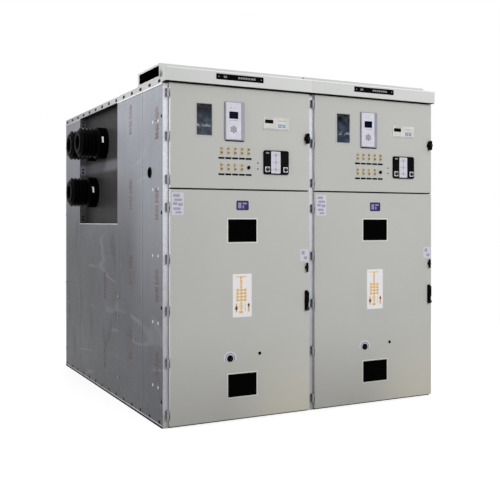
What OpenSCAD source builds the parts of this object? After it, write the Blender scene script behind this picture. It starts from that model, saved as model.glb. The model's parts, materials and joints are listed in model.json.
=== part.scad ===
// Two metal-clad high voltage switchgear panels, bolted side by side into one board.
// Millimetres, +Z up. The origin is on the floor, at the seam between the two bays and at half depth.
// The doors face -Y. Bay places are measured from the bay's left edge, the door face and the floor.

/* [Bay] */
// Width of one bay
bay_w = 1200; // [1150:5:1400]
// Depth from the door face to the rear cover face
depth = 2800; // [2700:10:3200]
// Height of the frame, to the top of its rails
frame_h = 2490; // [2470:5:2560]
// Height of the wire duct on the roof
duct_h = 107; // [90:1:140]
// Thickness of wall, roof and partition sheets
sheet_t = 3; // [2:0.5:4]
// Height of the instrument compartment, from the split line between the doors to the rails' top
upper_h = 790; // [780:1:800]

/* [Frame] */
// Width of a post's web
post_w = 60; // [50:1:70]
// Depth of a post's flanges
post_d = 60; // [50:1:80]
// Sheet thickness of posts and rails
post_t = 3; // [2:0.5:4]
// Height of the base members
base_h = 100; // [80:1:120]
// Width of the base members
base_w = 60; // [50:1:70]
// Height of the top rails
rail_h = 43; // [36:1:50]
// Width of the top rails
rail_w = 40; // [36:1:44]
// Radius of the holes along a top rail
rail_hole_r = 10; // [6:0.5:12]
// Number of holes along a top rail
rail_holes = 14; // [8:1:18]
// Distance from a rail's end to its first hole
rail_hole_end = 60; // [40:1:90]
// Length of an anchor foot along the depth
foot_l = 100; // [80:1:120]
// Width of an anchor foot
foot_w = 80; // [70:1:100]
// Thickness of an anchor foot
foot_t = 8; // [6:1:12]
// Radius of an anchor hole
foot_hole_r = 9; // [7:0.5:12]
// Distance from the frame's end to the middle of an anchor foot
foot_end = 200; // [150:5:300]

/* [Side] */
// Gap between neighbouring side sheets
seam_gap = 2; // [1:0.5:3]
// Height of the side sheets' lower edge
side_z = 12; // [8:1:20]
// Depth of the instrument compartment, at the first seam of the side
instrument_d = 454; // [420:2:500]
// Depth of the breaker compartment, at the front edge of the busbar pocket
breaker_d = 1063; // [1000:1:1100]
// Depth of the part behind the busbar pocket
rear_d = 555; // [520:1:580]
// Height of the busbar pocket, up to the rails' top
pocket_h = 1042; // [1010:1:1070]
// Depth of the busbar pocket's plate behind the side
pocket_d = 60; // [55:1:70]
// Radius of the wire hole
wire_hole_r = 35; // [25:1:45]
// Place of the wire hole along the depth
wire_hole_y = 288; // [240:1:330]
// Height of the wire hole above the split line
wire_hole_z = 126; // [90:1:200]
// Radius of the punched holes in the pocket's posts
punch_r = 10; // [8:0.5:12]
// Distance between the two holes of a punched pair
punch_pair = 30; // [26:1:40]
// Distance between punched pairs
punch_pitch = 450; // [400:5:460]
// Height of the folded lip under the instrument floor
lip_h = 45; // [30:1:60]

/* [Bushings] */
// Length of a bushing from the plate to its tip
bushing_l = 245; // [240:1:260]
// Radius of the bushing's foot
bushing_foot_r = 139; // [134:1:141]
// Length of the bushing's foot
bushing_foot_l = 84; // [76:1:88]
// Length of the slope from the foot to the body
bushing_slope = 12; // [8:1:16]
// Radius of the bushing's body
bushing_body_r = 119; // [110:1:122]
// Radius at the edge of a shed
shed_r = 131; // [126:1:134]
// Length of a shed at its root
shed_root = 22; // [18:1:26]
// Length of a shed at its edge
shed_edge = 6; // [4:1:8]
// Number of sheds
sheds = 4; // [3:1:4]
// Distance between sheds
shed_pitch = 32; // [28:1:33]
// Radius of the bushing's tip
bushing_tip_r = 104; // [95:1:109]
// Length from the last shed's middle to the end of the tip
bushing_tip_l = 26; // [22:1:30]
// Chamfer round the tip
bushing_chamfer = 6; // [3:1:8]
// Radius of the bore for the busbar
bushing_bore_r = 60; // [45:1:75]
// Place of the rear bushings, as a share of the pocket's length
bushing_share = 0.74; // [0.7:0.01:0.78]
// Distance between the upper bushings
bushing_step = 300; // [285:1:320]
// Distance from the rails' top down to the upper bushings
bushing_drop = 328; // [310:1:350]
// Distance from the upper bushings down to the lower one
bushing_fall = 427; // [410:1:440]

/* [Doors] */
// Depth of a door pan
door_d = 25; // [20:1:30]
// Sheet thickness of a door
door_t = 2.5; // [2:0.5:3]
// Gap between a door pan and the frame
door_gap = 6; // [5:0.5:8]
// Distance from the bay's left edge to the door
door_left = 48; // [46:1:54]
// Gap at the bay's right edge
door_right = 4; // [3:0.5:8]
// Height of the lower door's bottom edge
door_bottom = 15; // [12:1:30]
// Gap between the upper and the lower door
split_gap = 12; // [10:1:16]
// Gap between the upper door and the fascia
fascia_gap = 8; // [6:1:12]
// Number of hinges of the lower door
lower_hinge_count = 5; // [4:1:6]
// Height of the lower door's first hinge
hinge_low = 97; // [80:1:120]
// Distance from the split line down to the lower door's last hinge
hinge_drop = 132; // [110:1:150]
// Number of hinges of the upper door
upper_hinge_count = 3; // [2:1:4]
// Height of the upper door's first hinge above the split line
hinge_rise = 66; // [56:1:80]
// Distance from the rails' top down to the upper door's last hinge
hinge_top = 110; // [100:1:130]
// Distance from the bay's left edge to the hinge pins
hinge_x = 34; // [32:0.5:36]
// Distance from the door face back to the hinge pins
hinge_y = 8; // [7:0.5:10]
// Radius of a hinge knuckle
knuckle_r = 8; // [7:0.5:9]
// Height of one knuckle
knuckle_h = 32; // [26:1:36]
// Radius of a hinge pin
pin_r = 4; // [3:0.5:5]
// Radial play of a pin in its knuckle
pin_play = 0.08; // [0.05:0.01:0.1]
// Gap between the two knuckles of a hinge
thrust_gap = 0.5; // [0.3:0.1:1]
// Width of a hinge leaf
leaf_w = 20; // [18:1:40]
// Thickness of a hinge leaf
leaf_t = 4; // [3:0.5:5]

/* [Fascia] */
// Height of the fascia
fascia_h = 99; // [80:1:120]
// Height of the fascia's lower edge below the rails' top
fascia_drop = 34; // [30:1:38]
// Distance that the fascia stands proud of the doors
fascia_proud = 42; // [36:1:60]

/* [Wire duct] */
// Place of the duct's front wall behind the door face
duct_y = 100; // [90:1:130]
// Depth of the duct
duct_d = 475; // [400:5:500]
// Sheet thickness of the duct
duct_t = 2.5; // [2:0.5:3]
// Gap at each end of a bay's duct
duct_end = 6; // [3:1:20]

/* [Upper door] */
// Width of the upper window
window_w = 126; // [100:1:140]
// Height of the upper window
window_h = 233; // [200:1:260]
// Middle of the upper window from the bay's left edge
window_x = 310; // [280:1:330]
// Middle of the upper window above the split line
window_z = 503; // [480:1:520]
// Width of the relay
relay_w = 158; // [150:1:170]
// Height of the relay
relay_h = 282; // [250:1:300]
// Distance that the relay stands proud
relay_p = 20; // [15:1:30]
// Corner radius of the relay
relay_r = 6; // [3:1:10]
// Width of the relay's raised front panel
panel_w = 122; // [110:1:124]
// Distance from the relay's middle to the left to the middle of its front panel
panel_shift = 13; // [8:1:13]
// Height that the front panel stands above the relay's body
panel_p = 4; // [2:0.5:6]
// Width of the relay's screen
screen_w = 72; // [60:1:80]
// Height of the relay's screen
screen_h = 52; // [46:1:60]
// Height of the screen's middle above the relay's middle
screen_z = 42; // [36:1:50]
// Depth of the screen behind the front panel
screen_d = 3; // [2:0.5:5]
// Middle of the relay from the bay's left edge
relay_x = 550; // [540:1:570]
// Middle of the relay above the split line
relay_z = 502; // [490:1:520]
// Width of the humidity controller
meter_w = 219; // [200:1:230]
// Height of the humidity controller
meter_h = 94; // [80:1:110]
// Distance that the humidity controller stands proud
meter_p = 8; // [6:1:12]
// Corner radius of the humidity controller
meter_r = 5; // [3:1:8]
// Middle of the humidity controller from the bay's left edge
meter_x = 900; // [870:1:930]
// Middle of the humidity controller above the split line
meter_z = 502; // [480:1:520]
// Width of the status unit
status_w = 214; // [205:1:225]
// Height of the status unit
status_h = 181; // [160:1:200]
// Distance that the status unit stands proud
status_p = 14; // [10:1:20]
// Corner radius of the status unit
status_r = 16; // [8:1:24]
// Middle of the status unit from the bay's left edge
status_x = 900; // [870:1:930]
// Middle of the status unit above the split line
status_z = 210; // [195:1:230]
// Width of the status unit's raised strip
strip_w = 80; // [74:1:86]
// Distance from the status unit's middle to the left to the middle of its strip
strip_shift = 8; // [5:1:10]
// Distance from the strip's ends to the status unit's edges
strip_end = 8; // [6:1:12]
// Height that the strip stands above the status unit
strip_p = 2; // [1:0.5:4]
// Radius of the status unit's knobs
knob_r = 17; // [12:1:20]
// Height of the status unit's knobs
knob_p = 8; // [6:1:12]
// Distance from a knob's middle to the status unit's side
knob_side = 29; // [26:1:32]
// Distance from a knob's middle to the status unit's lower edge
knob_foot = 38; // [34:1:44]
// Distance between lamps in a row
lamp_pitch = 55.5; // [50:0.5:60]
// Middle of the first lamp from the bay's left edge
lamp_x = 447; // [440:1:460]
// Middle of the lower lamps above the split line
lamp_z = 165; // [158:1:176]
// Distance between the two rows of lamps
lamp_rows = 119; // [112:1:126]
// Width of a lamp
lamp_w = 19; // [17:1:24]
// Height of a lamp
lamp_h = 58; // [50:1:64]
// Distance that a lamp's housing stands proud
lamp_p = 6; // [4:1:10]
// Corner radius of a lamp's housing
lamp_r = 4; // [2:1:6]
// Radius of a lamp's lens
lens_r = 7.5; // [6:0.5:8]
// Height of a lamp's lens
lens_p = 5; // [3:0.5:8]
// Height of the selector knob beside the lower lamps
selector_p = 18; // [14:1:22]

/* [Lower door] */
// Width of an inspection window
glass_w = 235; // [200:1:260]
// Height of an inspection window
glass_h = 168; // [140:1:190]
// Middle of the inspection windows from the bay's left edge
glass_x = 617; // [600:1:630]
// Height of the middle of the lower inspection window
glass_low = 260; // [240:1:280]
// Distance from the split line down to the middle of the upper inspection window
glass_drop = 302; // [280:1:320]
// Width of a window's rim
rim_w = 9; // [6:1:14]
// Distance that a window's rim stands proud
rim_p = 3; // [2:0.5:5]
// Middle of latch and handle from the bay's right edge
latch_edge = 32; // [28:1:40]
// Height of the lock knob
lock_z = 1113; // [1090:1:1140]
// Height of the upper door's wing knob
wing_h = 80; // [70:1:90]
// Width of the upper door's wing knob at its middle
wing_w = 40; // [34:1:44]
// Width of the bar of the upper door's wing knob
wing_bar = 22; // [14:1:26]
// Radius of the end lobes of the upper door's wing knob
wing_lobe = 12; // [9:0.5:13]
// Height of a wing knob's round rose
rose_p = 10; // [8:1:14]
// Distance that the upper door's wing knob stands proud
wing_p = 38; // [28:1:42]
// Height of the lock knob from end to end
lock_h = 72; // [64:1:80]
// Width of the lock knob at its middle
lock_w = 24; // [20:1:30]
// Width of the lock knob's bar
lock_bar = 11; // [9:1:14]
// Radius of the lock knob's end lobes
lock_lobe = 6.5; // [5.5:0.5:8]
// Distance that the lock knob stands proud
lock_p = 26; // [22:1:32]
// Height of the upper door's wing knob above the split line
upper_latch_z = 403; // [380:1:430]
// Height of the handle's hub
handle_z = 796; // [780:1:820]
// Length of the handle above its hub
handle_l = 140; // [125:1:150]
// Width of the handle
handle_w = 30; // [28:1:36]
// Corner radius of the handle's base plate
plate_r = 11; // [8:1:14]
// Width of the handle's grip
grip_w = 23; // [22:1:28]
// Corner radius of the handle's grip
grip_r = 11; // [8:0.5:11.5]
// Thickness of the handle's grip
grip_t = 13; // [11:1:18]
// Thickness of the handle's base plate
plate_t = 8; // [6:1:10]
// Thickness of the base plate under the shaft's end
plate_floor = 2; // [1:0.5:3]
// Gap between the handle and its base plate
handle_gap = 6; // [5:0.5:8]
// Radius of the handle's shaft
shaft_r = 8; // [6:0.5:10]
// Radius of the crank socket's collar
socket_r = 24; // [20:1:28]
// Radius of the crank socket
crank_r = 13; // [10:0.5:16]
// Place of the crank socket from the bay's left edge
socket_x = 517; // [500:1:540]
// Height of the crank socket
socket_z = 461; // [440:1:480]
// Radius of the interlock boss
boss_r = 12; // [9:0.5:15]
// Place of the interlock boss from the bay's left edge
boss_x = 762; // [740:1:780]
// Height of the interlock boss
boss_z = 482; // [460:1:500]

/* [Rear and roof] */
// Depth of a rear cover
cover_d = 20; // [15:1:30]
// Height of the line between the two rear covers
cover_split = 1250; // [1100:5:1400]
// Gap round the rear covers
cover_gap = 8; // [5:1:12]
// Thickness of a relief flap
flap_t = 4; // [3:0.5:6]
// Distance from the bay's edges to a relief flap
flap_side = 90; // [70:5:150]
// Distance from a compartment's walls to its relief flap
flap_end = 50; // [40:5:70]

/* [Hidden] */
$fn = 48;

BAYS = [0, 1];
SIDES = [0, 1];
galvanised = [0.66, 0.67, 0.68];
paint = [0.76, 0.76, 0.73];
black = [0.06, 0.06, 0.07];
smoked = [0.12, 0.15, 0.2];
zinc = [0.72, 0.73, 0.75];

// Heights or places spread evenly from the first to the last
function spread(first, last, count) = [for (n = [0 : count - 1]) first + n * (last - first) / (count - 1)];

// Front plane of the frame, and its rear plane, behind the door face
frame_y = door_d + door_gap;
rear_y = depth - cover_d;
frame_d = rear_y - frame_y;
// Underside of the top rails, and top of the roof sheets
rail_z = frame_h - rail_h;
roof_z = frame_h + sheet_t;
fascia_z = frame_h - fascia_drop;
split_z = frame_h - upper_h;
pocket_z = frame_h - pocket_h;
pocket_back = depth - rear_d;
bushing_y = breaker_d + bushing_share * (pocket_back - breaker_d);
bushing_high = frame_h - bushing_drop;
bushing_low = bushing_high - bushing_fall;
door_w = bay_w - door_left - door_right;
lower_top = split_z - split_gap / 2;
upper_bottom = split_z + split_gap / 2;
upper_top = fascia_z - fascia_gap;
lower_hinges = spread(hinge_low, split_z - hinge_drop, lower_hinge_count);
upper_hinges = spread(split_z + hinge_rise, frame_h - hinge_top, upper_hinge_count);
glass_heights = [glass_low, split_z - glass_drop];
latch_x = bay_w - latch_edge;
// A cut reaches this far past the face it starts from
cut = 1;

// Children in the frame of one bay: its left edge, the door face and the floor
module in_bay(i) {
    translate([(i - 1) * bay_w, -depth / 2, 0]) children();
}

// Inset of a base member: an outer side carries a side sheet
function base_inset(i, side) = i == side ? sheet_t : 0;

// A slab given by its low and high corners
module slab(low, high) {
    translate(low) cube(high - low);
}

// A round hole or shaft along the depth, from the front backwards
module along_depth(p, r, l) {
    translate(p) rotate([-90, 0, 0]) cylinder(r = r, h = l);
}

// A round hole along the width, from the left rightwards
module along_width(p, r, l) {
    translate(p) rotate([0, 90, 0]) cylinder(r = r, h = l);
}

// A plate with round corners that stands out of the door face by p
module round_plate(w, h, p, r) {
    rotate([90, 0, 0]) linear_extrude(p) union() {
        square([w - 2 * r, h], center = true);
        square([w, h - 2 * r], center = true);
        for (sx = [-1, 1], sz = [-1, 1])
            translate([sx * (w / 2 - r), sz * (h / 2 - r)]) circle(r = r);
    }
}

// Frame

module base_side_members() color(galvanised) {
    for (i = BAYS, side = SIDES) in_bay(i) {
        x = side == 0 ? base_inset(i, side) : bay_w - base_inset(i, side) - base_w;
        slab([x, frame_y, 0], [x + base_w, rear_y, base_h]);
    }
}

module base_cross_members() color(galvanised) {
    for (i = BAYS, y = [frame_y, rear_y - base_w]) in_bay(i)
        slab([base_inset(i, 0) + base_w, y, 0], [bay_w - base_inset(i, 1) - base_w, y + base_w, base_h]);
}

// Drilled plates inside the base, for the floor anchors
module anchor_feet() color(galvanised) {
    for (i = BAYS, side = SIDES, y = [frame_y + foot_end, rear_y - foot_end]) in_bay(i) {
        x = side == 0 ? base_inset(i, side) + base_w : bay_w - base_inset(i, side) - base_w - foot_w;
        difference() {
            slab([x, y - foot_l / 2, 0], [x + foot_w, y + foot_l / 2, foot_t]);
            translate([x + foot_w / 2, y, -cut]) cylinder(r = foot_hole_r, h = foot_t + 2 * cut);
        }
    }
}

// A folded channel standing on its end, with its web to the front
module post(w, d, h) {
    linear_extrude(h) difference() {
        square([w, d]);
        translate([post_t, post_t]) square([w - 2 * post_t, d]);
    }
}

module front_posts() color(galvanised) {
    for (i = BAYS, x = [sheet_t, bay_w - sheet_t - post_w]) in_bay(i)
        translate([x, frame_y, base_h]) post(post_w, post_d, rail_z - base_h);
}

module rear_posts() color(galvanised) {
    for (i = BAYS, x = [sheet_t, bay_w - sheet_t - post_w]) in_bay(i)
        translate([x, rear_y, base_h]) mirror([0, 1, 0]) post(post_w, post_d, rail_z - base_h);
}

// The two punched posts at the busbar pocket's edges
module pocket_posts() color(galvanised) {
    punch_low = pocket_z + (rail_z - pocket_z) / 2 - punch_pitch;
    in_bay(0) difference() {
        union() {
            translate([sheet_t, pocket_back, base_h]) post(pocket_d - sheet_t, post_d, rail_z - base_h);
            translate([sheet_t, breaker_d, base_h]) mirror([0, 1, 0])
                post(pocket_d - sheet_t, post_d, rail_z - base_h);
        }
        for (n = [0 : 2], half = [-1, 1], y = [breaker_d - 2 * post_t, pocket_back - post_t])
            along_depth([(sheet_t + pocket_d) / 2, y, punch_low + n * punch_pitch + half * punch_pair / 2],
                punch_r, 3 * post_t);
    }
}

// Angles along the top of each side, with a row of holes
module top_side_rails() color(galvanised) {
    pitch = (frame_d - 2 * rail_hole_end) / (rail_holes - 1);
    for (i = BAYS, side = SIDES) in_bay(i) translate([side * bay_w, 0, 0]) mirror([side, 0, 0])
        difference() {
            slab([0, frame_y, rail_z], [rail_w, rear_y, frame_h]);
            slab([post_t, frame_y - cut, rail_z - cut], [rail_w + cut, rear_y + cut, frame_h - post_t]);
            for (n = [0 : rail_holes - 1])
                along_width([-cut, frame_y + rail_hole_end + n * pitch, rail_z + rail_h / 2],
                    rail_hole_r, post_t + 2 * cut);
        }
}

// Angles across the top, at the front and at the back
module top_cross_rails() color(galvanised) {
    for (i = BAYS, back = SIDES) in_bay(i)
        translate([0, back == 0 ? frame_y : rear_y, 0]) mirror([0, back, 0]) difference() {
            slab([rail_w, 0, rail_z], [bay_w - rail_w, rail_w, frame_h]);
            slab([rail_w - cut, post_t, rail_z - cut],
                [bay_w - rail_w + cut, rail_w + cut, frame_h - post_t]);
        }
}

// Side sheets

module left_front_side_sheet() color(galvanised) in_bay(0) difference() {
    slab([0, frame_y, side_z], [sheet_t, instrument_d - seam_gap / 2, rail_z]);
    along_width([-cut, wire_hole_y, split_z + wire_hole_z], wire_hole_r, sheet_t + 2 * cut);
}

module left_middle_side_sheet() color(galvanised) in_bay(0)
    slab([0, instrument_d + seam_gap / 2, side_z], [sheet_t, breaker_d, rail_z]);

// The sheet under the busbar pocket, folded inwards at the top as the pocket's sill
module left_lower_side_sheet() color(galvanised) in_bay(0) union() {
    slab([0, breaker_d + seam_gap, side_z], [sheet_t, pocket_back - seam_gap, pocket_z]);
    slab([0, breaker_d + seam_gap, pocket_z - sheet_t], [pocket_d, pocket_back - seam_gap, pocket_z]);
}

module left_rear_side_sheet() color(galvanised) in_bay(0)
    slab([0, pocket_back, side_z], [sheet_t, rear_y, rail_z]);

module right_end_sheet() color(galvanised) in_bay(1)
    slab([bay_w - sheet_t, frame_y, side_z], [bay_w, rear_y, rail_z]);

// The two bays' sheets, back to back at the seam
module seam_sheets() color(galvanised) {
    in_bay(0) slab([bay_w - sheet_t, frame_y, base_h], [bay_w, rear_y, rail_z]);
    in_bay(1) slab([0, frame_y, base_h], [sheet_t, rear_y, rail_z]);
}

// Busbar pocket

module bushing_plate() color(galvanised) in_bay(0) difference() {
    slab([pocket_d, breaker_d, pocket_z - sheet_t], [pocket_d + sheet_t, pocket_back + post_d, rail_z]);
    for (y = [bushing_y - bushing_step, bushing_y])
        along_width([pocket_d - cut, y, bushing_high], bushing_bore_r, sheet_t + 2 * cut);
    along_width([pocket_d - cut, bushing_y, bushing_low], bushing_bore_r, sheet_t + 2 * cut);
}

// A cast bushing along +Z: foot, body, sheds and rounded tip round a bore
module bushing() color(black) {
    last_shed = bushing_l - bushing_tip_l;
    shed = [[bushing_body_r, -shed_root / 2], [shed_r, -shed_edge / 2], [shed_r, shed_edge / 2],
        [bushing_body_r, shed_root / 2]];
    rotate_extrude() polygon(concat(
        [[bushing_bore_r, 0], [bushing_foot_r, 0], [bushing_foot_r, bushing_foot_l],
            [bushing_body_r, bushing_foot_l + bushing_slope]],
        [for (n = [sheds - 1 : -1 : 0], p = shed) [p[0], last_shed - n * shed_pitch + p[1]]],
        [[bushing_tip_r, bushing_l - bushing_chamfer], [bushing_tip_r - bushing_chamfer, bushing_l],
            [bushing_bore_r, bushing_l]]));
}

module seated_bushing(y, z) in_bay(0)
    translate([pocket_d, y, z]) rotate([0, -90, 0]) bushing();

module upper_front_bushing() seated_bushing(bushing_y - bushing_step, bushing_high);
module upper_rear_bushing() seated_bushing(bushing_y, bushing_high);
module lower_bushing() seated_bushing(bushing_y, bushing_low);

// Roof and rear

module roof_sheets() color(galvanised)
    for (i = BAYS) in_bay(i) slab([0, frame_y, frame_h], [bay_w, rear_y, roof_z]);

module relief_flaps() color(galvanised) {
    walls = [duct_y + duct_d, breaker_d, (breaker_d + rear_y) / 2, rear_y];
    for (i = BAYS, n = [0 : 2]) in_bay(i)
        slab([flap_side, walls[n] + flap_end, roof_z],
            [bay_w - flap_side, walls[n + 1] - flap_end, roof_z + flap_t]);
}

// A folded pan with its face to the front
module pan(w, d, h, t) difference() {
    cube([w, d, h]);
    translate([t, t, t]) cube([w - 2 * t, d, h - 2 * t]);
}

module rear_covers() color(paint) {
    spans = [[door_bottom, cover_split - cover_gap / 2], [cover_split + cover_gap / 2, rail_z]];
    for (i = BAYS, span = spans) in_bay(i)
        translate([cover_gap, depth, span[0]]) mirror([0, 1, 0])
            pan(bay_w - 2 * cover_gap, cover_d, span[1] - span[0], door_t);
}

// Compartment walls

module breaker_back_sheets() color(galvanised) {
    for (i = BAYS) in_bay(i)
        slab([i == 0 ? pocket_d : sheet_t, breaker_d - sheet_t, base_h + sheet_t],
            [bay_w - sheet_t, breaker_d, rail_z]);
}

module breaker_floors() color(galvanised) {
    for (i = BAYS) in_bay(i)
        slab([sheet_t + post_w, frame_y, base_h], [bay_w - sheet_t - post_w, breaker_d, base_h + sheet_t]);
}

module instrument_floors() color(galvanised) {
    for (i = BAYS) in_bay(i) {
        slab([sheet_t, frame_y + post_d, split_z - sheet_t], [bay_w - sheet_t, instrument_d, split_z]);
        translate([sheet_t + post_w, frame_y, 0]) {
            slab([0, 0, split_z - sheet_t], [bay_w - 2 * (sheet_t + post_w), post_d, split_z]);
            slab([0, 0, split_z - lip_h], [bay_w - 2 * (sheet_t + post_w), sheet_t, split_z]);
        }
    }
}

module instrument_backs() color(galvanised) {
    for (i = BAYS) in_bay(i)
        slab([sheet_t, instrument_d - sheet_t, split_z], [bay_w - sheet_t, instrument_d, rail_z]);
}

// Wire duct on the roof, open at both ends
module wire_ducts() color(paint) {
    for (i = BAYS) in_bay(i) difference() {
        slab([duct_end, duct_y, roof_z], [bay_w - duct_end, duct_y + duct_d, roof_z + duct_h]);
        slab([duct_end - cut, duct_y + duct_t, roof_z + duct_t],
            [bay_w - duct_end + cut, duct_y + duct_d - duct_t, roof_z + duct_h - duct_t]);
    }
}

// Fascia: a pan, open to the back, on the front top rail
module fascia(i) color(paint) in_bay(i) difference() {
    slab([0, -fascia_proud, fascia_z], [bay_w, frame_y, fascia_z + fascia_h]);
    slab([door_t, door_t - fascia_proud, fascia_z + door_t],
        [bay_w - door_t, frame_y + cut, fascia_z + fascia_h - door_t]);
}

module left_fascia() fascia(0);
module right_fascia() fascia(1);

// Hinges

// Fixed half: leaf on the post, lower knuckle and pin
module hinge_leaf(z) {
    slab([hinge_x + knuckle_r - leaf_w, frame_y - leaf_t, z - knuckle_h],
        [hinge_x + knuckle_r, frame_y, z + knuckle_h]);
    slab([hinge_x - leaf_t / 2, hinge_y, z - knuckle_h], [hinge_x + leaf_t / 2, frame_y - leaf_t, z]);
    translate([hinge_x, hinge_y, z - knuckle_h]) cylinder(r = knuckle_r, h = knuckle_h);
    translate([hinge_x, hinge_y, z - knuckle_h]) cylinder(r = pin_r, h = 2 * knuckle_h);
}

// Moving half: upper knuckle with an arm to the door's edge
module door_knuckle(z) difference() {
    translate([0, 0, z + thrust_gap]) {
        translate([hinge_x, hinge_y, 0]) cylinder(r = knuckle_r, h = knuckle_h);
        slab([hinge_x, hinge_y - leaf_t / 2, 0], [door_left + door_t / 2, hinge_y + leaf_t / 2, knuckle_h]);
    }
    translate([hinge_x, hinge_y, z]) cylinder(r = pin_r + pin_play, h = knuckle_h + 2 * cut);
}

module hinge_leaves(i) color(zinc) in_bay(i) {
    for (z = lower_hinges) hinge_leaf(z);
    for (z = upper_hinges) hinge_leaf(z);
}

module left_hinge_leaves() hinge_leaves(0);
module right_hinge_leaves() hinge_leaves(1);

// Doors

module upper_door(i) color(paint) in_bay(i) {
    difference() {
        translate([door_left, 0, upper_bottom]) pan(door_w, door_d, upper_top - upper_bottom, door_t);
        slab([window_x - window_w / 2, -cut, split_z + window_z - window_h / 2],
            [window_x + window_w / 2, door_t + cut, split_z + window_z + window_h / 2]);
    }
    for (z = upper_hinges) door_knuckle(z);
}

module left_upper_door() upper_door(0);
module right_upper_door() upper_door(1);

module lower_door(i) color(paint) in_bay(i) {
    difference() {
        translate([door_left, 0, door_bottom]) pan(door_w, door_d, lower_top - door_bottom, door_t);
        for (z = glass_heights)
            slab([glass_x - glass_w / 2, -cut, z - glass_h / 2],
                [glass_x + glass_w / 2, door_t + cut, z + glass_h / 2]);
        along_depth([socket_x, -cut, socket_z], crank_r, door_t + 2 * cut);
    }
    for (z = lower_hinges) door_knuckle(z);
}

module left_lower_door() lower_door(0);
module right_lower_door() lower_door(1);

// A glazed window: pane through the sheet and a raised rim round it
module glazing(x, z, w, h) translate([x, 0, z]) {
    slab([-w / 2, -rim_p / 2, -h / 2], [w / 2, door_t, h / 2]);
    difference() {
        slab([-w / 2 - rim_w, -rim_p, -h / 2 - rim_w], [w / 2 + rim_w, 0, h / 2 + rim_w]);
        slab([-w / 2, -rim_p - cut, -h / 2], [w / 2, cut, h / 2]);
    }
}

module upper_windows() color(smoked)
    for (i = BAYS) in_bay(i) glazing(window_x, split_z + window_z, window_w, window_h);

module inspection_windows(i) color(black) in_bay(i)
    for (z = glass_heights) glazing(glass_x, z, glass_w, glass_h);

module left_inspection_windows() inspection_windows(0);
module right_inspection_windows() inspection_windows(1);

// Instruments of the upper doors

// Body, raised front panel and sunk screen
module relays() color([0.86, 0.86, 0.88])
    for (i = BAYS) in_bay(i) translate([relay_x, 0, split_z + relay_z]) difference() {
        union() {
            round_plate(relay_w, relay_h, relay_p - panel_p, relay_r);
            translate([-panel_shift, 0, 0]) round_plate(panel_w, relay_h - 2 * relay_r, relay_p, relay_r);
        }
        translate([-panel_shift, 0, screen_z])
            slab([-screen_w / 2, -relay_p - cut, -screen_h / 2],
                [screen_w / 2, screen_d - relay_p, screen_h / 2]);
    }

module humidity_controllers() color([0.84, 0.84, 0.83])
    for (i = BAYS) in_bay(i)
        translate([meter_x, 0, split_z + meter_z]) round_plate(meter_w, meter_h, meter_p, meter_r);

// Case, raised strip and two knobs
module status_units() color(black)
    for (i = BAYS) in_bay(i) translate([status_x, 0, split_z + status_z]) {
        round_plate(status_w, status_h, status_p, status_r);
        translate([-strip_shift, 0, 0])
            round_plate(strip_w, status_h - 2 * strip_end, status_p + strip_p, strip_end);
        for (sx = [-1, 1])
            along_depth([sx * (status_w / 2 - knob_side), -status_p - knob_p, knob_foot - status_h / 2],
                knob_r, knob_p);
    }

module indicator_lamps() color([0.7, 0.6, 0.3]) {
    for (i = BAYS, row = [0, 1], n = [0 : 3 + row]) in_bay(i)
        translate([lamp_x + n * lamp_pitch, 0, split_z + lamp_z + row * lamp_rows]) {
            round_plate(lamp_w, lamp_h, lamp_p, lamp_r);
            for (half = [-1, 1]) along_depth([0, -lamp_p - lens_p, half * lamp_h / 4], lens_r, lens_p);
        }
    for (i = BAYS) in_bay(i)
        along_depth([lamp_x + 4 * lamp_pitch, -selector_p, split_z + lamp_z], lens_r, selector_p);
}

// A wing knob: round rose, bar with two lobes and hub
module wing_knob(h, w, bar, lobe, p) {
    lobe_z = h / 2 - lobe;
    along_depth([0, -rose_p, 0], w / 2, rose_p);
    slab([-bar / 2, -p, -lobe_z], [bar / 2, -rose_p, lobe_z]);
    for (half = [-1, 1]) along_depth([0, -p, half * lobe_z], lobe, p - rose_p);
}

module upper_latches() color(black)
    for (i = BAYS) in_bay(i) translate([latch_x, 0, split_z + upper_latch_z])
        wing_knob(wing_h, wing_w, wing_bar, wing_lobe, wing_p);

// Lock knob, handle base, crank socket and interlock boss of a lower door
module door_furniture(i) color(black) in_bay(i) {
    translate([latch_x, 0, lock_z]) wing_knob(lock_h, lock_w, lock_bar, lock_lobe, lock_p);
    difference() {
        translate([latch_x, 0, handle_z + (handle_l - handle_w / 2) / 2])
            round_plate(handle_w, handle_l + handle_w / 2, plate_t, plate_r);
        along_depth([latch_x, -plate_t - cut, handle_z], shaft_r + pin_play, plate_t + cut - plate_floor);
    }
    difference() {
        along_depth([socket_x, -plate_t, socket_z], socket_r, plate_t);
        along_depth([socket_x, -plate_t - cut, socket_z], crank_r, plate_t + 2 * cut);
    }
    along_depth([boss_x, -plate_t / 2, boss_z], boss_r, plate_t / 2);
}

module left_door_furniture() door_furniture(0);
module right_door_furniture() door_furniture(1);

// Lever with its hub below and its grip above, on a shaft in the base plate
module handle(i) color(black) in_bay(i) translate([latch_x, -plate_t - handle_gap, handle_z]) {
    along_depth([0, -grip_t, 0], shaft_r, grip_t + handle_gap + plate_t - plate_floor - thrust_gap);
    along_depth([0, -grip_t, 0], handle_w / 2, grip_t);
    translate([0, 0, (handle_l - handle_w / 2) / 2]) round_plate(grip_w, handle_l, grip_t, grip_r);
}

module left_handle() handle(0);
module right_handle() handle(1);

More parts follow.
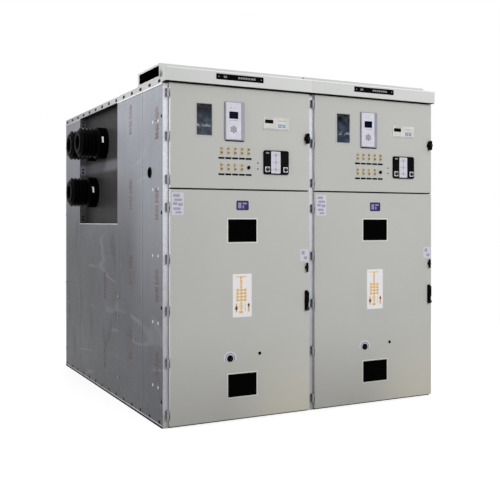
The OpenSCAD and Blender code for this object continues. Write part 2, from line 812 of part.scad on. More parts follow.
base_side_members();
base_cross_members();
anchor_feet();
front_posts();
rear_posts();
pocket_posts();
top_side_rails();
top_cross_rails();
left_front_side_sheet();
left_middle_side_sheet();
left_lower_side_sheet();
left_rear_side_sheet();
bushing_plate();
upper_front_bushing();
upper_rear_bushing();
lower_bushing();
right_end_sheet();
seam_sheets();
roof_sheets();
relief_flaps();
rear_covers();
breaker_back_sheets();
breaker_floors();
instrument_floors();
instrument_backs();
wire_ducts();
left_fascia();
right_fascia();
left_upper_door();
right_upper_door();
upper_windows();
relays();
humidity_controllers();
status_units();
indicator_lamps();
upper_latches();
left_hinge_leaves();
right_hinge_leaves();
left_lower_door();
right_lower_door();
left_inspection_windows();
right_inspection_windows();
left_door_furniture();
right_door_furniture();
left_handle();
right_handle();
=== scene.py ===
"""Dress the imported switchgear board: two metal-clad bays with doors, instruments and a busbar pocket.

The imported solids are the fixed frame. Each sub-assembly of the board is a class: its fields are
sizes in millimetres, and its methods build the meshes and give them their finishes. Places are
those of one bay: X from the bay's left edge, Y back from the door face and Z up from the floor.
Finishes are measured in metres, as shaders see the board.
"""

import json
import logging
import math
from dataclasses import dataclass
from enum import Enum
from typing import Callable, ClassVar, Iterator, Optional, Sequence, Union

import bmesh
import bpy
from mathutils import Matrix, Vector

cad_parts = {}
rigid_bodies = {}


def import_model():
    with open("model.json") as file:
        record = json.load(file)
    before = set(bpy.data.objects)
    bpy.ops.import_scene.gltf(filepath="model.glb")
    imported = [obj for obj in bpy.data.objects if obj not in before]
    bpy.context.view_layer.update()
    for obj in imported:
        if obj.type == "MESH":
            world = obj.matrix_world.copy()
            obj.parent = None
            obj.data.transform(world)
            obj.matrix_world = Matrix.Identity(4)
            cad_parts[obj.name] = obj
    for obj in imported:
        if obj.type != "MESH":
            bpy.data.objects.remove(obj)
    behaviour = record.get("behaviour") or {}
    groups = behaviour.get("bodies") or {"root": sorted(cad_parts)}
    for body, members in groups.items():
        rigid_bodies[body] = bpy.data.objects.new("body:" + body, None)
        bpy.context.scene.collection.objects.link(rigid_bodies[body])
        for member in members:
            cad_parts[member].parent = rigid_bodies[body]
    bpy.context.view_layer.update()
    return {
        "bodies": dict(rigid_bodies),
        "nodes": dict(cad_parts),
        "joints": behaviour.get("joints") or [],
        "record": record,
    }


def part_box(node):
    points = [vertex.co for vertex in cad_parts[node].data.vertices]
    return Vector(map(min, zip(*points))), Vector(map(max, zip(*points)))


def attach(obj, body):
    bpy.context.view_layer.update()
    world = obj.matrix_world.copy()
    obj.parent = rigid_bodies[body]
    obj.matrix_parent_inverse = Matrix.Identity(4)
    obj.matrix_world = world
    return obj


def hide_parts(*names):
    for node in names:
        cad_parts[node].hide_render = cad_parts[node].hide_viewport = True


LOG = logging.getLogger("switchboard")
MM = 0.001
# Two coordinates nearer than this, in millimetres, are the same
TOUCH = 0.01
# Faces that meet at more than SHARP have a hard edge, and faces that meet at less than FLAT are one plane
SHARP = math.radians(32)
FLAT = math.radians(1)
# A face this many times as large as its neighbour keeps its own plane in the shading
WIDE = 8.0
# Edges that bend by more than this, in radians, are rounded
BENT = 1.0
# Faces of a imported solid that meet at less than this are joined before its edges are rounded
LEVEL = math.radians(0.5)
# A face looks along an axis when its normal has more than this of it
FACING = 0.5
# A node that is wider than a bay by more than this, in millimetres, stands in both bays
SLACK = 1.0
# The two ways that a side wall faces along X
LEFTWARDS, RIGHTWARDS = -1.0, 1.0
# The body that everything rides on except the lower doors and their handles
ROOT = "switchboard"

Point = tuple[float, float, float]
Pair = tuple[float, float]
Colour = tuple[float, float, float, float]
Area = tuple[float, float, float, float]
Profile = Sequence[Pair]
Operand = Union["Value", float]
Mesh, Edge, Face = bmesh.types.BMesh, bmesh.types.BMEdge, bmesh.types.BMFace
FinishOf = Callable[[Face], "Finish"]
WHITE: Colour = (1.0, 1.0, 1.0, 1.0)


def colour(red: int, green: int, blue: int) -> Colour:
    """Turn a colour as a screen shows it into the linear colour that shaders take.

    Args:
        red: Red from 0 to 255.
        green: Green from 0 to 255.
        blue: Blue from 0 to 255.

    Returns:
        The linear colour, with an alpha of 1.
    """
    shares = [channel / 255 for channel in (red, green, blue)]
    linear = [s / 12.92 if s <= 0.04045 else ((s + 0.055) / 1.055) ** 2.4 for s in shares]
    return (linear[0], linear[1], linear[2], 1.0)


def dimmed(tone: Colour, share: float) -> Colour:
    """Return a colour with its brightness multiplied by a share."""
    return (tone[0] * share, tone[1] * share, tone[2] * share, 1.0)


class Slot(Enum):
    """The record's material slots, which the pieces of this script are given but do not fill."""

    PAINT = "grey_paint"
    EPOXY = "black_epoxy"
    GLASS = "smoked_glass"
    HOUSING = "relay_housing"
    PLASTIC = "black_plastic"
    LAMP = "lamp_plastic"
    ZINC = "zinc_hinge"


class Value:
    """A shader socket that takes part in Python expressions."""

    def __init__(self, graph: "Graph", socket: bpy.types.NodeSocket) -> None:
        """Keep the socket and the graph it belongs to."""
        self.graph = graph
        self.socket = socket

    def _math(self, operation: str, first: Operand, second: Operand) -> "Value":
        """Add a Math node with two terms."""
        return self.graph.node("ShaderNodeMath", {"operation": operation}, {0: first, 1: second})

    def __add__(self, other: Operand) -> "Value":
        """Add a number or a socket."""
        return self._math("ADD", self, other)

    __radd__ = __add__

    def __sub__(self, other: Operand) -> "Value":
        """Take away a number or a socket."""
        return self._math("SUBTRACT", self, other)

    def __rsub__(self, other: Operand) -> "Value":
        """Take this socket away from a number."""
        return self._math("SUBTRACT", other, self)

    def __mul__(self, other: Operand) -> "Value":
        """Multiply by a number or a socket."""
        return self._math("MULTIPLY", self, other)

    __rmul__ = __mul__

    def between(self, low: float, high: float) -> "Value":
        """Rise smoothly from 0 at a low value to 1 at a high one.

        Args:
            low: The value that gives 0.
            high: The value that gives 1.

        Returns:
            The smoothed share, from 0 to 1.
        """
        settings = {"interpolation_type": "SMOOTHSTEP"}
        inputs = {"Value": self, "From Min": low, "From Max": high}
        return self.graph.node("ShaderNodeMapRange", settings, inputs)


class Graph:
    """The node tree of a material or a world."""

    def __init__(self, tree: bpy.types.NodeTree) -> None:
        """Start with an empty tree."""
        self.tree = tree
        tree.nodes.clear()

    @staticmethod
    def _socket(sockets: Sequence[bpy.types.NodeSocket], key: Union[str, int]) -> bpy.types.NodeSocket:
        """Find a socket of a node.

        Args:
            sockets: The node's inputs or outputs.
            key: The socket's number, identifier or name.

        Returns:
            The socket.
        """
        if isinstance(key, int):
            return sockets[key]
        return next(socket for socket in sockets if key in (socket.identifier, socket.name))

    def node(
        self,
        kind: str,
        settings: Optional[dict[str, object]] = None,
        inputs: Optional[dict[Union[str, int], object]] = None,
        output: Union[str, int] = 0,
    ) -> Value:
        """Add a node of any type.

        Args:
            kind: The node's type.
            settings: Properties of the node, set before its sockets.
            inputs: A value or a link for each socket that is fed.
            output: The output socket that is handed back.

        Returns:
            The chosen output socket.
        """
        node = self.tree.nodes.new(kind)
        for name, setting in (settings or {}).items():
            setattr(node, name, setting)
        for key, value in (inputs or {}).items():
            socket = self._socket(node.inputs, key)
            if isinstance(value, Value):
                self.tree.links.new(value.socket, socket)
            else:
                socket.default_value = value
        return Value(self, self._socket(node.outputs, output) if len(node.outputs) else None)

    def place(self, stretch: Point = (1.0, 1.0, 1.0)) -> Value:
        """Return the piece's own coordinates, squeezed along each axis."""
        own = self.node("ShaderNodeTexCoord", output="Object")
        return self.node("ShaderNodeMapping", {"vector_type": "POINT"}, {"Vector": own, "Scale": stretch})

    def along(self, axis: str) -> Value:
        """Return the piece's own coordinate along an axis, in metres."""
        return self.node("ShaderNodeSeparateXYZ", inputs={"Vector": self.place()}, output=axis)

    def repeat(self, axis: str, length: float) -> Value:
        """Return the share of the way along each length of an axis, from 0 to 1."""
        return self.node("ShaderNodeMath", {"operation": "FRACT"}, {0: self.along(axis) * (1.0 / length)})

    def noise(self, scale: float, detail: float = 2.0, stretch: Point = (1.0, 1.0, 1.0)) -> Value:
        """Return cloudy noise from 0 to 1, by its waves per metre and its number of finer layers."""
        inputs = {"Vector": self.place(stretch), "Scale": scale, "Detail": detail}
        return self.node("ShaderNodeTexNoise", {"noise_dimensions": "3D"}, inputs, "Fac")

    def crystals(self, scale: float) -> Value:
        """Return a crystal pattern.

        Args:
            scale: Cells per metre.

        Returns:
            One even random value for each cell.
        """
        cells = self.node(
            "ShaderNodeTexVoronoi", {"feature": "F1"}, {"Vector": self.place(), "Scale": scale}, "Color"
        )
        return self.node("ShaderNodeSeparateColor", inputs={"Color": cells}, output="Red")

    def blend(self, share: Operand, first: Union[Value, Colour], second: Union[Value, Colour]) -> Value:
        """Mix two colours.

        Args:
            share: Share of the second colour.
            first: The colour at a share of 0.
            second: The colour at a share of 1.

        Returns:
            The mixed colour.
        """
        settings = {"data_type": "RGBA", "blend_type": "MIX"}
        inputs = {"Factor_Float": share, "A_Color": first, "B_Color": second}
        return self.node("ShaderNodeMix", settings, inputs, "Result_Color")

    def shades(self, share: Operand, tone: Colour, first: float, second: float) -> Value:
        """Mix a colour at two shares of its brightness."""
        return self.blend(share, dimmed(tone, first), dimmed(tone, second))

    def bump(self, height: Value, strength: float, reach: float) -> Value:
        """Turn a height into a normal; the reach of a full step is in metres."""
        return self.node("ShaderNodeBump", inputs={"Height": height, "Strength": strength, "Distance": reach})

    def surface(self, **inputs: object) -> Value:
        """Add the main shader; an underscore in a name stands for a space."""
        named = {name.replace("_", " "): value for name, value in inputs.items()}
        return self.node("ShaderNodeBsdfPrincipled", inputs=named)

    def seen(self) -> Value:
        """Tell the rays that show a surface from those that only light the scene.

        Returns:
            1 for a ray from the camera, a mirror or a pane, and 0 for a ray of scattered light.
        """
        kinds = ("Is Camera Ray", "Is Glossy Ray", "Is Transmission Ray")
        camera, glossy, through = (self.node("ShaderNodeLightPath", output=kind) for kind in kinds)
        return (camera + glossy + through).between(0.0, 1.0)


@dataclass(frozen=True)
class Finish:
    """A surface finish with a name of its own."""

    name: str

    def shade(self, graph: Graph) -> Value:
        """Add this finish's nodes and return its shader."""
        raise NotImplementedError

    def material(self) -> bpy.types.Material:
        """Make this finish's material when it is first asked for.

        Returns:
            The material.
        """
        made = bpy.data.materials.get(self.name)
        if made is None:
            made = bpy.data.materials.new(self.name)
            made.use_nodes = True
            graph = Graph(made.node_tree)
            graph.node("ShaderNodeOutputMaterial", inputs={"Surface": self.shade(graph)})
        return made


@dataclass(frozen=True)
class PowderCoat(Finish):
    """Baked paint: clouds, orange peel, dust and painted shade towards the floor, painted light across each
    bay and a warm painted glow low on its right.
    """

    tone: Colour
    roughness: float = 0.55
    # Dust and painted shade, which darken the paint towards the floor on the left of each bay
    dust: Colour = colour(146, 142, 134)
    dust_and_shade_top: float = 0.75
    # Painted light: a warm glow painted low on the right of each bay
    glow: Colour = colour(212, 206, 184)
    bay: float = 1.2

    def shade(self, graph: Graph) -> Value:
        """Add this finish's nodes.

        Args:
            graph: The material's node tree.

        Returns:
            The shader.
        """
        cloud = graph.noise(1.7, detail=3.0)
        scuff = graph.noise(11.0, detail=6.0, stretch=(1.0, 1.0, 0.2)).between(0.58, 0.74)
        peel = graph.noise(420.0)
        low = 1.0 - graph.along("Z").between(-0.2, self.dust_and_shade_top)
        # Painted light: the paint gets paler towards the right of each bay
        across = graph.repeat("X", self.bay)
        right = across.between(0.35, 0.95)
        shade = 0.35 * cloud.between(0.32, 0.68) + 0.65 * across
        cloud_and_painted_light = graph.shades(shade, self.tone, 0.955, 1.045)
        # Dust and painted shade low down on the left, and warm painted light low down on the right
        dust_and_shade_mixed = graph.blend(0.45 * low * (0.6 + 0.8 * cloud) * (1.0 - right), cloud_and_painted_light, self.dust)
        return graph.surface(
            Base_Color=graph.blend(0.7 * low * right, dust_and_shade_mixed, self.glow),
            Roughness=self.roughness + 0.1 * cloud + 0.08 * scuff,
            Specular_IOR_Level=0.25,
            Normal=graph.bump(peel, strength=0.1, reach=0.0003),
        )


@dataclass(frozen=True)
class Galvanised(Finish):
    """Zinc-coated sheet: crystals, rolling marks, smears, waviness, creased film and painted shade low down,
    reaching higher at the back.
    """

    tone: Colour
    roughness: float = 0.42
    metal: float = 0.2
    crystal: float = 75.0
    wave: float = 0.25
    painted_shade: float = 0.0
    front: float = -1.05
    back: float = -0.6
    front_painted_shade: Pair = (0.3, 1.8)
    back_painted_shade: Pair = (1.1, 2.3)
    film: float = 0.0
    shine: float = 0.15

    def shade(self, graph: Graph) -> Value:
        """Add this finish's nodes.

        Args:
            graph: The material's node tree.

        Returns:
            The shader.
        """
        grain = graph.crystals(self.crystal)
        cloud = graph.noise(1.9, detail=4.0)
        rolled = graph.noise(34.0, detail=3.0, stretch=(1.0, 1.0, 0.03))
        band = graph.noise(3.4, stretch=(1.0, 1.0, 0.08))
        smear = graph.noise(6.0, detail=6.0, stretch=(1.0, 1.0, 0.45)).between(0.56, 0.72)
        tone = 0.15 * grain + 0.35 * cloud + 0.2 * rolled + 0.3 * band
        base = graph.shades(tone.between(0.34, 0.66), self.tone, 0.86, 1.08)
        rubbed = graph.blend(0.2 * smear, base, dimmed(self.tone, 1.2))
        # Painted shade: the sheet darkens towards the floor, and higher up towards the back
        near, far = (1.0 - graph.along("Z").between(*reach) for reach in (self.front_painted_shade, self.back_painted_shade))
        low = near + graph.along("Y").between(self.front, self.back) * (far - near)
        painted_shade_mixed = graph.blend(self.painted_shade * low * (0.8 + 0.4 * cloud), rubbed, dimmed(self.tone, 0.27))
        height = graph.noise(2.4, detail=1.0) + 0.01 * grain
        filmed = graph.blend(self.film * self._creases(graph), painted_shade_mixed, dimmed(self.tone, 1.7))
        return graph.surface(
            Base_Color=self._tint(graph, filmed),
            Metallic=self.metal,
            Roughness=self.roughness + 0.1 * grain + 0.1 * smear - 0.06,
            Specular_IOR_Level=self.shine,
            Normal=graph.bump(height, strength=self.wave, reach=0.006),
        )

    def _tint(self, graph: Graph, base: Value) -> Value:
        """Return the sheet's colour with what else tints it."""
        return base

    @staticmethod
    def _creases(graph: Graph) -> Value:
        """Draw the pale creases and scuffs of the film on a sheet.

        Args:
            graph: The material's node tree.

        Returns:
            How strongly they show.
        """
        run = graph.noise(1.5, detail=1.5, stretch=(1.0, 0.3, 1.5))
        crease = run.between(0.54, 0.553) * (1.0 - run.between(0.553, 0.57))
        here = graph.noise(2.7, detail=1.0).between(0.46, 0.6)
        scuff = graph.noise(28.0, detail=4.0, stretch=(1.0, 1.0, 0.4)).between(0.66, 0.74)
        return crease * here + 0.7 * scuff


@dataclass(frozen=True)
class PocketZinc(Galvanised):
    """Zinc-coated sheet in the pocket's shade, with a painted reflection: a pale band between the rows of
    bushings.
    """

    # Painted reflection: the colour of the pale band across the sheet
    band: Colour = colour(150, 148, 162)
    reflection_band_z: float = 1.955
    reflection_band_half: float = 0.022
    reflection_band_share: float = 0.4

    def _tint(self, graph: Graph, base: Value) -> Value:
        """Tint the sheet with its painted reflection, a pale band.

        Args:
            graph: The material's node tree.
            base: The sheet's colour.

        Returns:
            The tinted colour.
        """
        z, half = graph.along("Z"), self.reflection_band_half
        above = z.between(self.reflection_band_z - 3 * half, self.reflection_band_z - half)
        below = 1.0 - z.between(self.reflection_band_z + half, self.reflection_band_z + 3 * half)
        return graph.blend(self.reflection_band_share * above * below, base, self.band)


@dataclass(frozen=True)
class Moulded(Finish):
    """Moulded plastic with a fine spark-eroded grain and slightly rubbed patches."""

    tone: Colour
    roughness: float = 0.45
    shine: float = 0.35

    def shade(self, graph: Graph) -> Value:
        """Add this finish's nodes.

        Args:
            graph: The material's node tree.

        Returns:
            The shader.
        """
        grain = graph.noise(900.0)
        rubbed = graph.noise(16.0, detail=4.0).between(0.45, 0.7)
        return graph.surface(
            Base_Color=graph.shades(rubbed, self.tone, 0.94, 1.06),
            Roughness=self.roughness - 0.08 * rubbed + 0.06 * grain,
            Specular_IOR_Level=self.shine,
            Normal=graph.bump(grain, strength=0.12, reach=0.0002),
        )


@dataclass(frozen=True)
class CastEpoxy(Finish):
    """Black cast resin: smooth and dark, with flow marks and a thin film of dust."""

    tone: Colour = colour(4, 4, 5)

    def shade(self, graph: Graph) -> Value:
        """Add this finish's nodes.

        Args:
            graph: The material's node tree.

        Returns:
            The shader.
        """
        flow = graph.noise(14.0, detail=4.0)
        film = graph.noise(55.0, detail=5.0).between(0.5, 0.75)
        return graph.surface(
            Base_Color=graph.shades(0.3 * film, self.tone, 1.0, 2.5),
            Roughness=0.4 + 0.12 * film + 0.06 * flow,
            Specular_IOR_Level=0.015,
            Normal=graph.bump(flow, strength=0.15, reach=0.0015),
        )


@dataclass(frozen=True)
class Plated(Finish):
    """Zinc-plated steel of hinges, bolts and screws, with a cloudy passivated film."""

    tone: Colour = colour(186, 187, 192)
    metal: float = 0.75

    def shade(self, graph: Graph) -> Value:
        """Add this finish's nodes.

        Args:
            graph: The material's node tree.

        Returns:
            The shader.
        """
        film = graph.noise(60.0, detail=4.0)
        scratch = graph.noise(300.0, stretch=(1.0, 1.0, 0.1))
        return graph.surface(
            Base_Color=graph.shades(film, self.tone, 0.72, 1.1),
            Metallic=self.metal,
            Roughness=0.3 + 0.2 * scratch,
            Normal=graph.bump(scratch, strength=0.08, reach=0.0002),
        )


@dataclass(frozen=True)
class TintedGlass(Finish):
    """A tinted pane with a slight ripple and a thin haze."""

    tone: Colour
    cover: float
    shine: float = 0.5

    def shade(self, graph: Graph) -> Value:
        """Add this finish's nodes.

        Args:
            graph: The material's node tree.

        Returns:
            The shader.
        """
        ripple = graph.noise(9.0)
        haze = graph.noise(26.0, detail=5.0).between(0.42, 0.8)
        return graph.surface(
            Base_Color=self.tint(graph, haze),
            Roughness=0.05 + 0.1 * haze,
            Specular_IOR_Level=self.shine,
            Alpha=self.cover,
            Normal=graph.bump(ripple, strength=0.12, reach=0.004),
        )

    def tint(self, graph: Graph, haze: Value) -> Value:
        """Return the pane's colour, which the haze makes paler."""
        return graph.shades(haze, self.tone, 1.0, 1.7)


@dataclass(frozen=True)
class ShadedGlass(TintedGlass):
    """A tinted pane with painted reflection: deep at its head, pale at its foot, with a pale streak across
    it.
    """

    # Painted reflection: pale low down, deep at the head, and a pale streak across the pane
    pale: Colour = colour(56, 65, 81)
    deep: Colour = colour(10, 13, 19)
    smear: Colour = colour(206, 210, 216)
    foot: float = 2.06
    head: float = 2.31
    painted_streak_z: float = 2.162
    painted_streak_h: float = 0.018

    def tint(self, graph: Graph, haze: Value) -> Value:
        """Paint reflection into the pane: three tones by height, and a pale streak.

        Args:
            graph: The material's node tree.
            haze: Share of the haze.

        Returns:
            The pane's colour.
        """
        height = graph.along("Z")
        middle = (self.foot + self.head) / 2
        lower = graph.blend(height.between(self.foot, middle), self.pale, self.tone)
        shaded = graph.blend(height.between(middle, self.head), lower, self.deep)
        below = height.between(self.painted_streak_z - self.painted_streak_h, self.painted_streak_z)
        above = 1.0 - height.between(self.painted_streak_z, self.painted_streak_z + self.painted_streak_h)
        painted_streak = graph.noise(38.0, detail=4.0, stretch=(1.0, 1.0, 1.6)).between(0.44, 0.66)
        return graph.blend(0.7 * below * above * painted_streak + 0.1 * haze, shaded, self.smear)


@dataclass(frozen=True)
class Lens(Finish):
    """A coloured lamp lens: glossy, with ribs that catch the light."""

    tone: Colour

    def shade(self, graph: Graph) -> Value:
        """Add this finish's nodes.

        Args:
            graph: The material's node tree.

        Returns:
            The shader.
        """
        rib = graph.noise(520.0, detail=1.0)
        return graph.surface(
            Base_Color=graph.shades(rib, self.tone, 0.7, 1.25),
            Roughness=0.18 + 0.1 * rib,
            Coat_Weight=0.6,
            Normal=graph.bump(rib, strength=0.2, reach=0.0008),
        )


@dataclass(frozen=True)
class Printed(Finish):
    """Matt printed film or card with faint fibres."""

    tone: Colour
    roughness: float = 0.6

    def shade(self, graph: Graph) -> Value:
        """Add this finish's nodes.

        Args:
            graph: The material's node tree.

        Returns:
            The shader.
        """
        fibre = graph.noise(240.0, detail=5.0)
        crease = graph.noise(13.0, detail=3.0)
        return graph.surface(
            Base_Color=graph.shades(fibre, self.tone, 0.93, 1.04),
            Roughness=self.roughness + 0.1 * fibre,
            Specular_IOR_Level=0.25,
            Normal=graph.bump(crease, strength=0.1, reach=0.0006),
        )


DOOR_PAINT = PowderCoat("door paint", colour(200, 200, 196))
FASCIA_PAINT = PowderCoat("fascia paint", colour(220, 222, 220), roughness=0.5)
# Painted highlight along the head of each fascia
HIGHLIGHT_PAINT = PowderCoat("fascia head painted highlight", colour(252, 252, 252), roughness=0.5)
# Painted shade: a darker copy of the fascia paint for the ends of fascias and ducts
SHADED_END_PAINT = PowderCoat("end face painted shade", colour(182, 184, 182), roughness=0.6)
# Painted light: a paler copy of the door paint for the doors' hinge-side edges
LIT_EDGE_PAINT = PowderCoat("door edge painted light", colour(244, 244, 240), roughness=0.6)
# Painted highlight: the inspection windows' rims are paler than the door paint
HIGHLIGHT_RIM_PAINT = PowderCoat("window rim painted highlight", colour(234, 234, 230), roughness=0.5)
SHEET = Galvanised("galvanised sheet", colour(147, 150, 158), metal=0.08, painted_shade=0.96, film=0.15)
ROOF_SHEET = Galvanised("roof sheet", colour(160, 161, 165), roughness=0.62, metal=0.0, shine=0.05)
FRAME_STEEL = Galvanised("galvanised frame", colour(178, 178, 178), metal=0.1, crystal=110.0)
POST_STEEL = Galvanised(
    "bright galvanised posts", colour(226, 226, 235), roughness=0.5, metal=0.05, wave=0.1, painted_shade=0.45,
)
# Painted highlight: pale zinc for the side walls' folds, drips, sill and dimples
HIGHLIGHT_STEEL = Galvanised("folded edges painted highlight", colour(222, 222, 222), roughness=0.45, metal=0.1, wave=0.1)
SEAM_STEEL = Galvanised("seam edges", colour(178, 180, 184), roughness=0.45, metal=0.1, wave=0.1, painted_shade=0.6)
# Painted shade and reflection: the plate's dark tone stands for the pocket's shade and its dark mirror
# reflections
POCKET_PLATE = PocketZinc(
    "dark pocket plate", colour(56, 54, 54), roughness=0.45, metal=0.0, crystal=45.0, shine=0.03,
)
# The pocket posts carry a stronger band of painted reflection
POCKET_POST = PocketZinc(
    "pocket post", colour(88, 87, 92), roughness=0.4, metal=0.1, band=colour(176, 175, 190), reflection_band_share=0.7,
)
INNER_SHEET = Galvanised("inner sheet", colour(140, 141, 145), roughness=0.5)
ZINC = Plated("zinc plate")
DULL_ZINC = Plated("dull zinc plate", colour(132, 132, 136), metal=0.6)
HINGE_ZINC = Plated("hinge zinc", colour(150, 150, 158), metal=0.25)
DARK_STEEL = Plated("blackened steel", colour(48, 48, 52), metal=0.5)
RESIN = CastEpoxy("black resin")
# The upper windows' glass, with painted reflection
SMOKED = ShadedGlass("smoked glass", colour(48, 58, 75), cover=0.97, shine=0.03)
DARK_GLASS = TintedGlass("dark inspection glass", colour(2, 2, 2), cover=1.0, shine=0.01)
RUBBER = Moulded("black rubber", colour(9, 9, 10), roughness=0.7, shine=0.06)
GREY_RUBBER = Moulded("grey rubber", colour(176, 177, 174), roughness=0.6, shine=0.1)
BLACK = Moulded("black plastic", colour(8, 8, 10), roughness=0.45, shine=0.03)
CASE_SILVER = Moulded("silver case", colour(158, 158, 172), roughness=0.4)
PANEL_WHITE = Moulded("white panel", colour(226, 225, 236), roughness=0.5, shine=0.25)
METER_GREY = Moulded("pale grey case", colour(222, 222, 219), roughness=0.55, shine=0.25)
KEY_GREY = Moulded("grey keys", colour(150, 151, 160), roughness=0.5)
KEY_BLUE = Moulded("blue keys", colour(70, 142, 186), roughness=0.45)
SCREEN_NAVY = TintedGlass("navy screen", colour(2, 4, 22), cover=1.0, shine=0.01)
SCREEN_LIT = TintedGlass("lit part of the screen", colour(8, 12, 42), cover=1.0, shine=0.01)
SCREEN_RED = TintedGlass("red display", colour(26, 4, 6), cover=1.0, shine=0.01)
WHITE_PRINT = Printed("white print", colour(220, 219, 230))
LILAC_PRINT = Printed("lilac print", colour(170, 170, 192))
GREY_PRINT = Printed("grey print", colour(150, 150, 154))
CARD_WHITE = Printed("diagram card", colour(252, 250, 252))
CARD_GOLD = Printed("gold diagram lines", colour(240, 196, 118))
CARD_TAN = Printed("tan diagram lines", colour(228, 176, 124))
CARD_CREAM = Printed("cream diagram dots", colour(250, 222, 170))
FILM_PINK = TintedGlass("faded film print", colour(180, 118, 118), cover=0.2, shine=0.1)
PLATE_BLACK = Moulded("black plate", colour(4, 4, 5), roughness=0.6, shine=0.02)
BADGE_BLUE = Printed("blue badge film", colour(38, 34, 92), roughness=0.5)
BADGE_PALE = Printed("pale badge print", colour(150, 146, 190), roughness=0.5)
LAMP_BASE = Moulded("lamp housing", colour(212, 194, 146), roughness=0.45)


class LampColour(Enum):
    """The lens colours of the indicator lamps."""

    AMBER = Lens("amber lens", colour(172, 126, 74))
    BROWN = Lens("brown lens", colour(146, 108, 72))
    OLIVE = Lens("olive lens", colour(112, 100, 60))
    RED = Lens("red lens", colour(158, 92, 82))
    YELLOW = Lens("yellow lens", colour(206, 180, 108))


def facing_front(x: float, z: float, y: float = 0.0) -> Matrix:
    """Return a place on a front face, whose own Z points out of the door."""
    return Matrix.Translation((x, y, z)) @ Matrix.Rotation(math.pi / 2, 4, "X")


def facing_rear(x: float, z: float, y: float) -> Matrix:
    """Return a place on a rear face, whose own Z points backwards."""
    return Matrix.Translation((x, y, z)) @ Matrix.Rotation(-math.pi / 2, 4, "X")


def facing_up(x: float, y: float, z: float) -> Matrix:
    """Return a place on a roof, whose own Z points up."""
    return Matrix.Translation((x, y, z))


def spread(first: float, last: float, count: int, inset: float = 0.0) -> list[float]:
    """Return places spread evenly from the first to the last, or from an inset at either end."""
    start, length = first + inset, last - first - 2 * inset
    return [start + n * length / (count - 1) for n in range(count)]


def around(x: float, z: float, size: Pair, front: float, back: float = 0.0) -> tuple[Point, Point]:
    """Return the low and high corners of a block that is centred on a spot of a front face."""
    w, h = size[0] / 2, size[1] / 2
    return (x - w, front, z - h), (x + w, back, z + h)


def ring(inner: float, outer: float, foot: float, head: float) -> Profile:
    """Return the outline of a ring between two radii and two heights."""
    return [(inner, foot), (outer, foot), (outer, head), (inner, head)]


def deep_edges(part: Mesh) -> list[Edge]:
    """Return the edges of a part that run from its front to its back."""
    return [e for e in part.edges if abs(e.verts[0].co.y - e.verts[1].co.y) > TOUCH]


def bevel(part: Mesh, edges: Sequence[Edge], width: float, steps: int = 2) -> None:
    """Round edges of a part.

    Args:
        part: The mesh that is changed.
        edges: The edges that are rounded.
        width: Width of the rounding.
        steps: Number of steps across it.
    """
    bmesh.ops.bevel(
        part, geom=list(edges), offset=width, offset_type="OFFSET", affect="EDGES",
        segments=steps, profile=0.5, material=-1, clamp_overlap=True,
    )


@dataclass(frozen=True)
class Span:
    """Where a solid is in its bay."""

    low: Vector
    high: Vector

    @property
    def size(self) -> Vector:
        """The solid's size along each axis."""
        return self.high - self.low

    @property
    def middle(self) -> Vector:
        """The middle of the solid's box."""
        return (self.low + self.high) / 2


@dataclass(frozen=True)
class Bay:
    """One bay of the board."""

    name: str
    origin: Vector

    def node(self, piece: str) -> str:
        """Return the name of this bay's own node or body."""
        return f"{self.name}_{piece}"


class Board:
    """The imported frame: its nodes, its two bays and the places of solids in a bay."""

    def __init__(self, frame: dict[str, object]) -> None:
        """Measure the bays.
        """
        self.nodes: dict[str, bpy.types.Object] = frame["nodes"]
        low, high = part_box("left_fascia")
        self.bay_width = (high.x - low.x) / MM
        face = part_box("left_upper_door")[0].y
        self.left = Bay("left", Vector((low.x, face, 0.0)) / MM)
        self.right = Bay("right", Vector((high.x, face, 0.0)) / MM)
        self.bays = (self.left, self.right)
        self.split = (self.span("left_lower_door").high.z + self.span("left_upper_door").low.z) / 2

    def span(self, node: str) -> Span:
        """Measure a node in the left bay; a node of both bays gives the left bay's share.

        Args:
            node: The node's name.

        Returns:
            The node's low and high corners.
        """
        low, high = (Vector(corner) / MM - self.left.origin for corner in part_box(node))
        if high.x - low.x > self.bay_width + SLACK:
            high.x -= self.bay_width
        return Span(low, high)


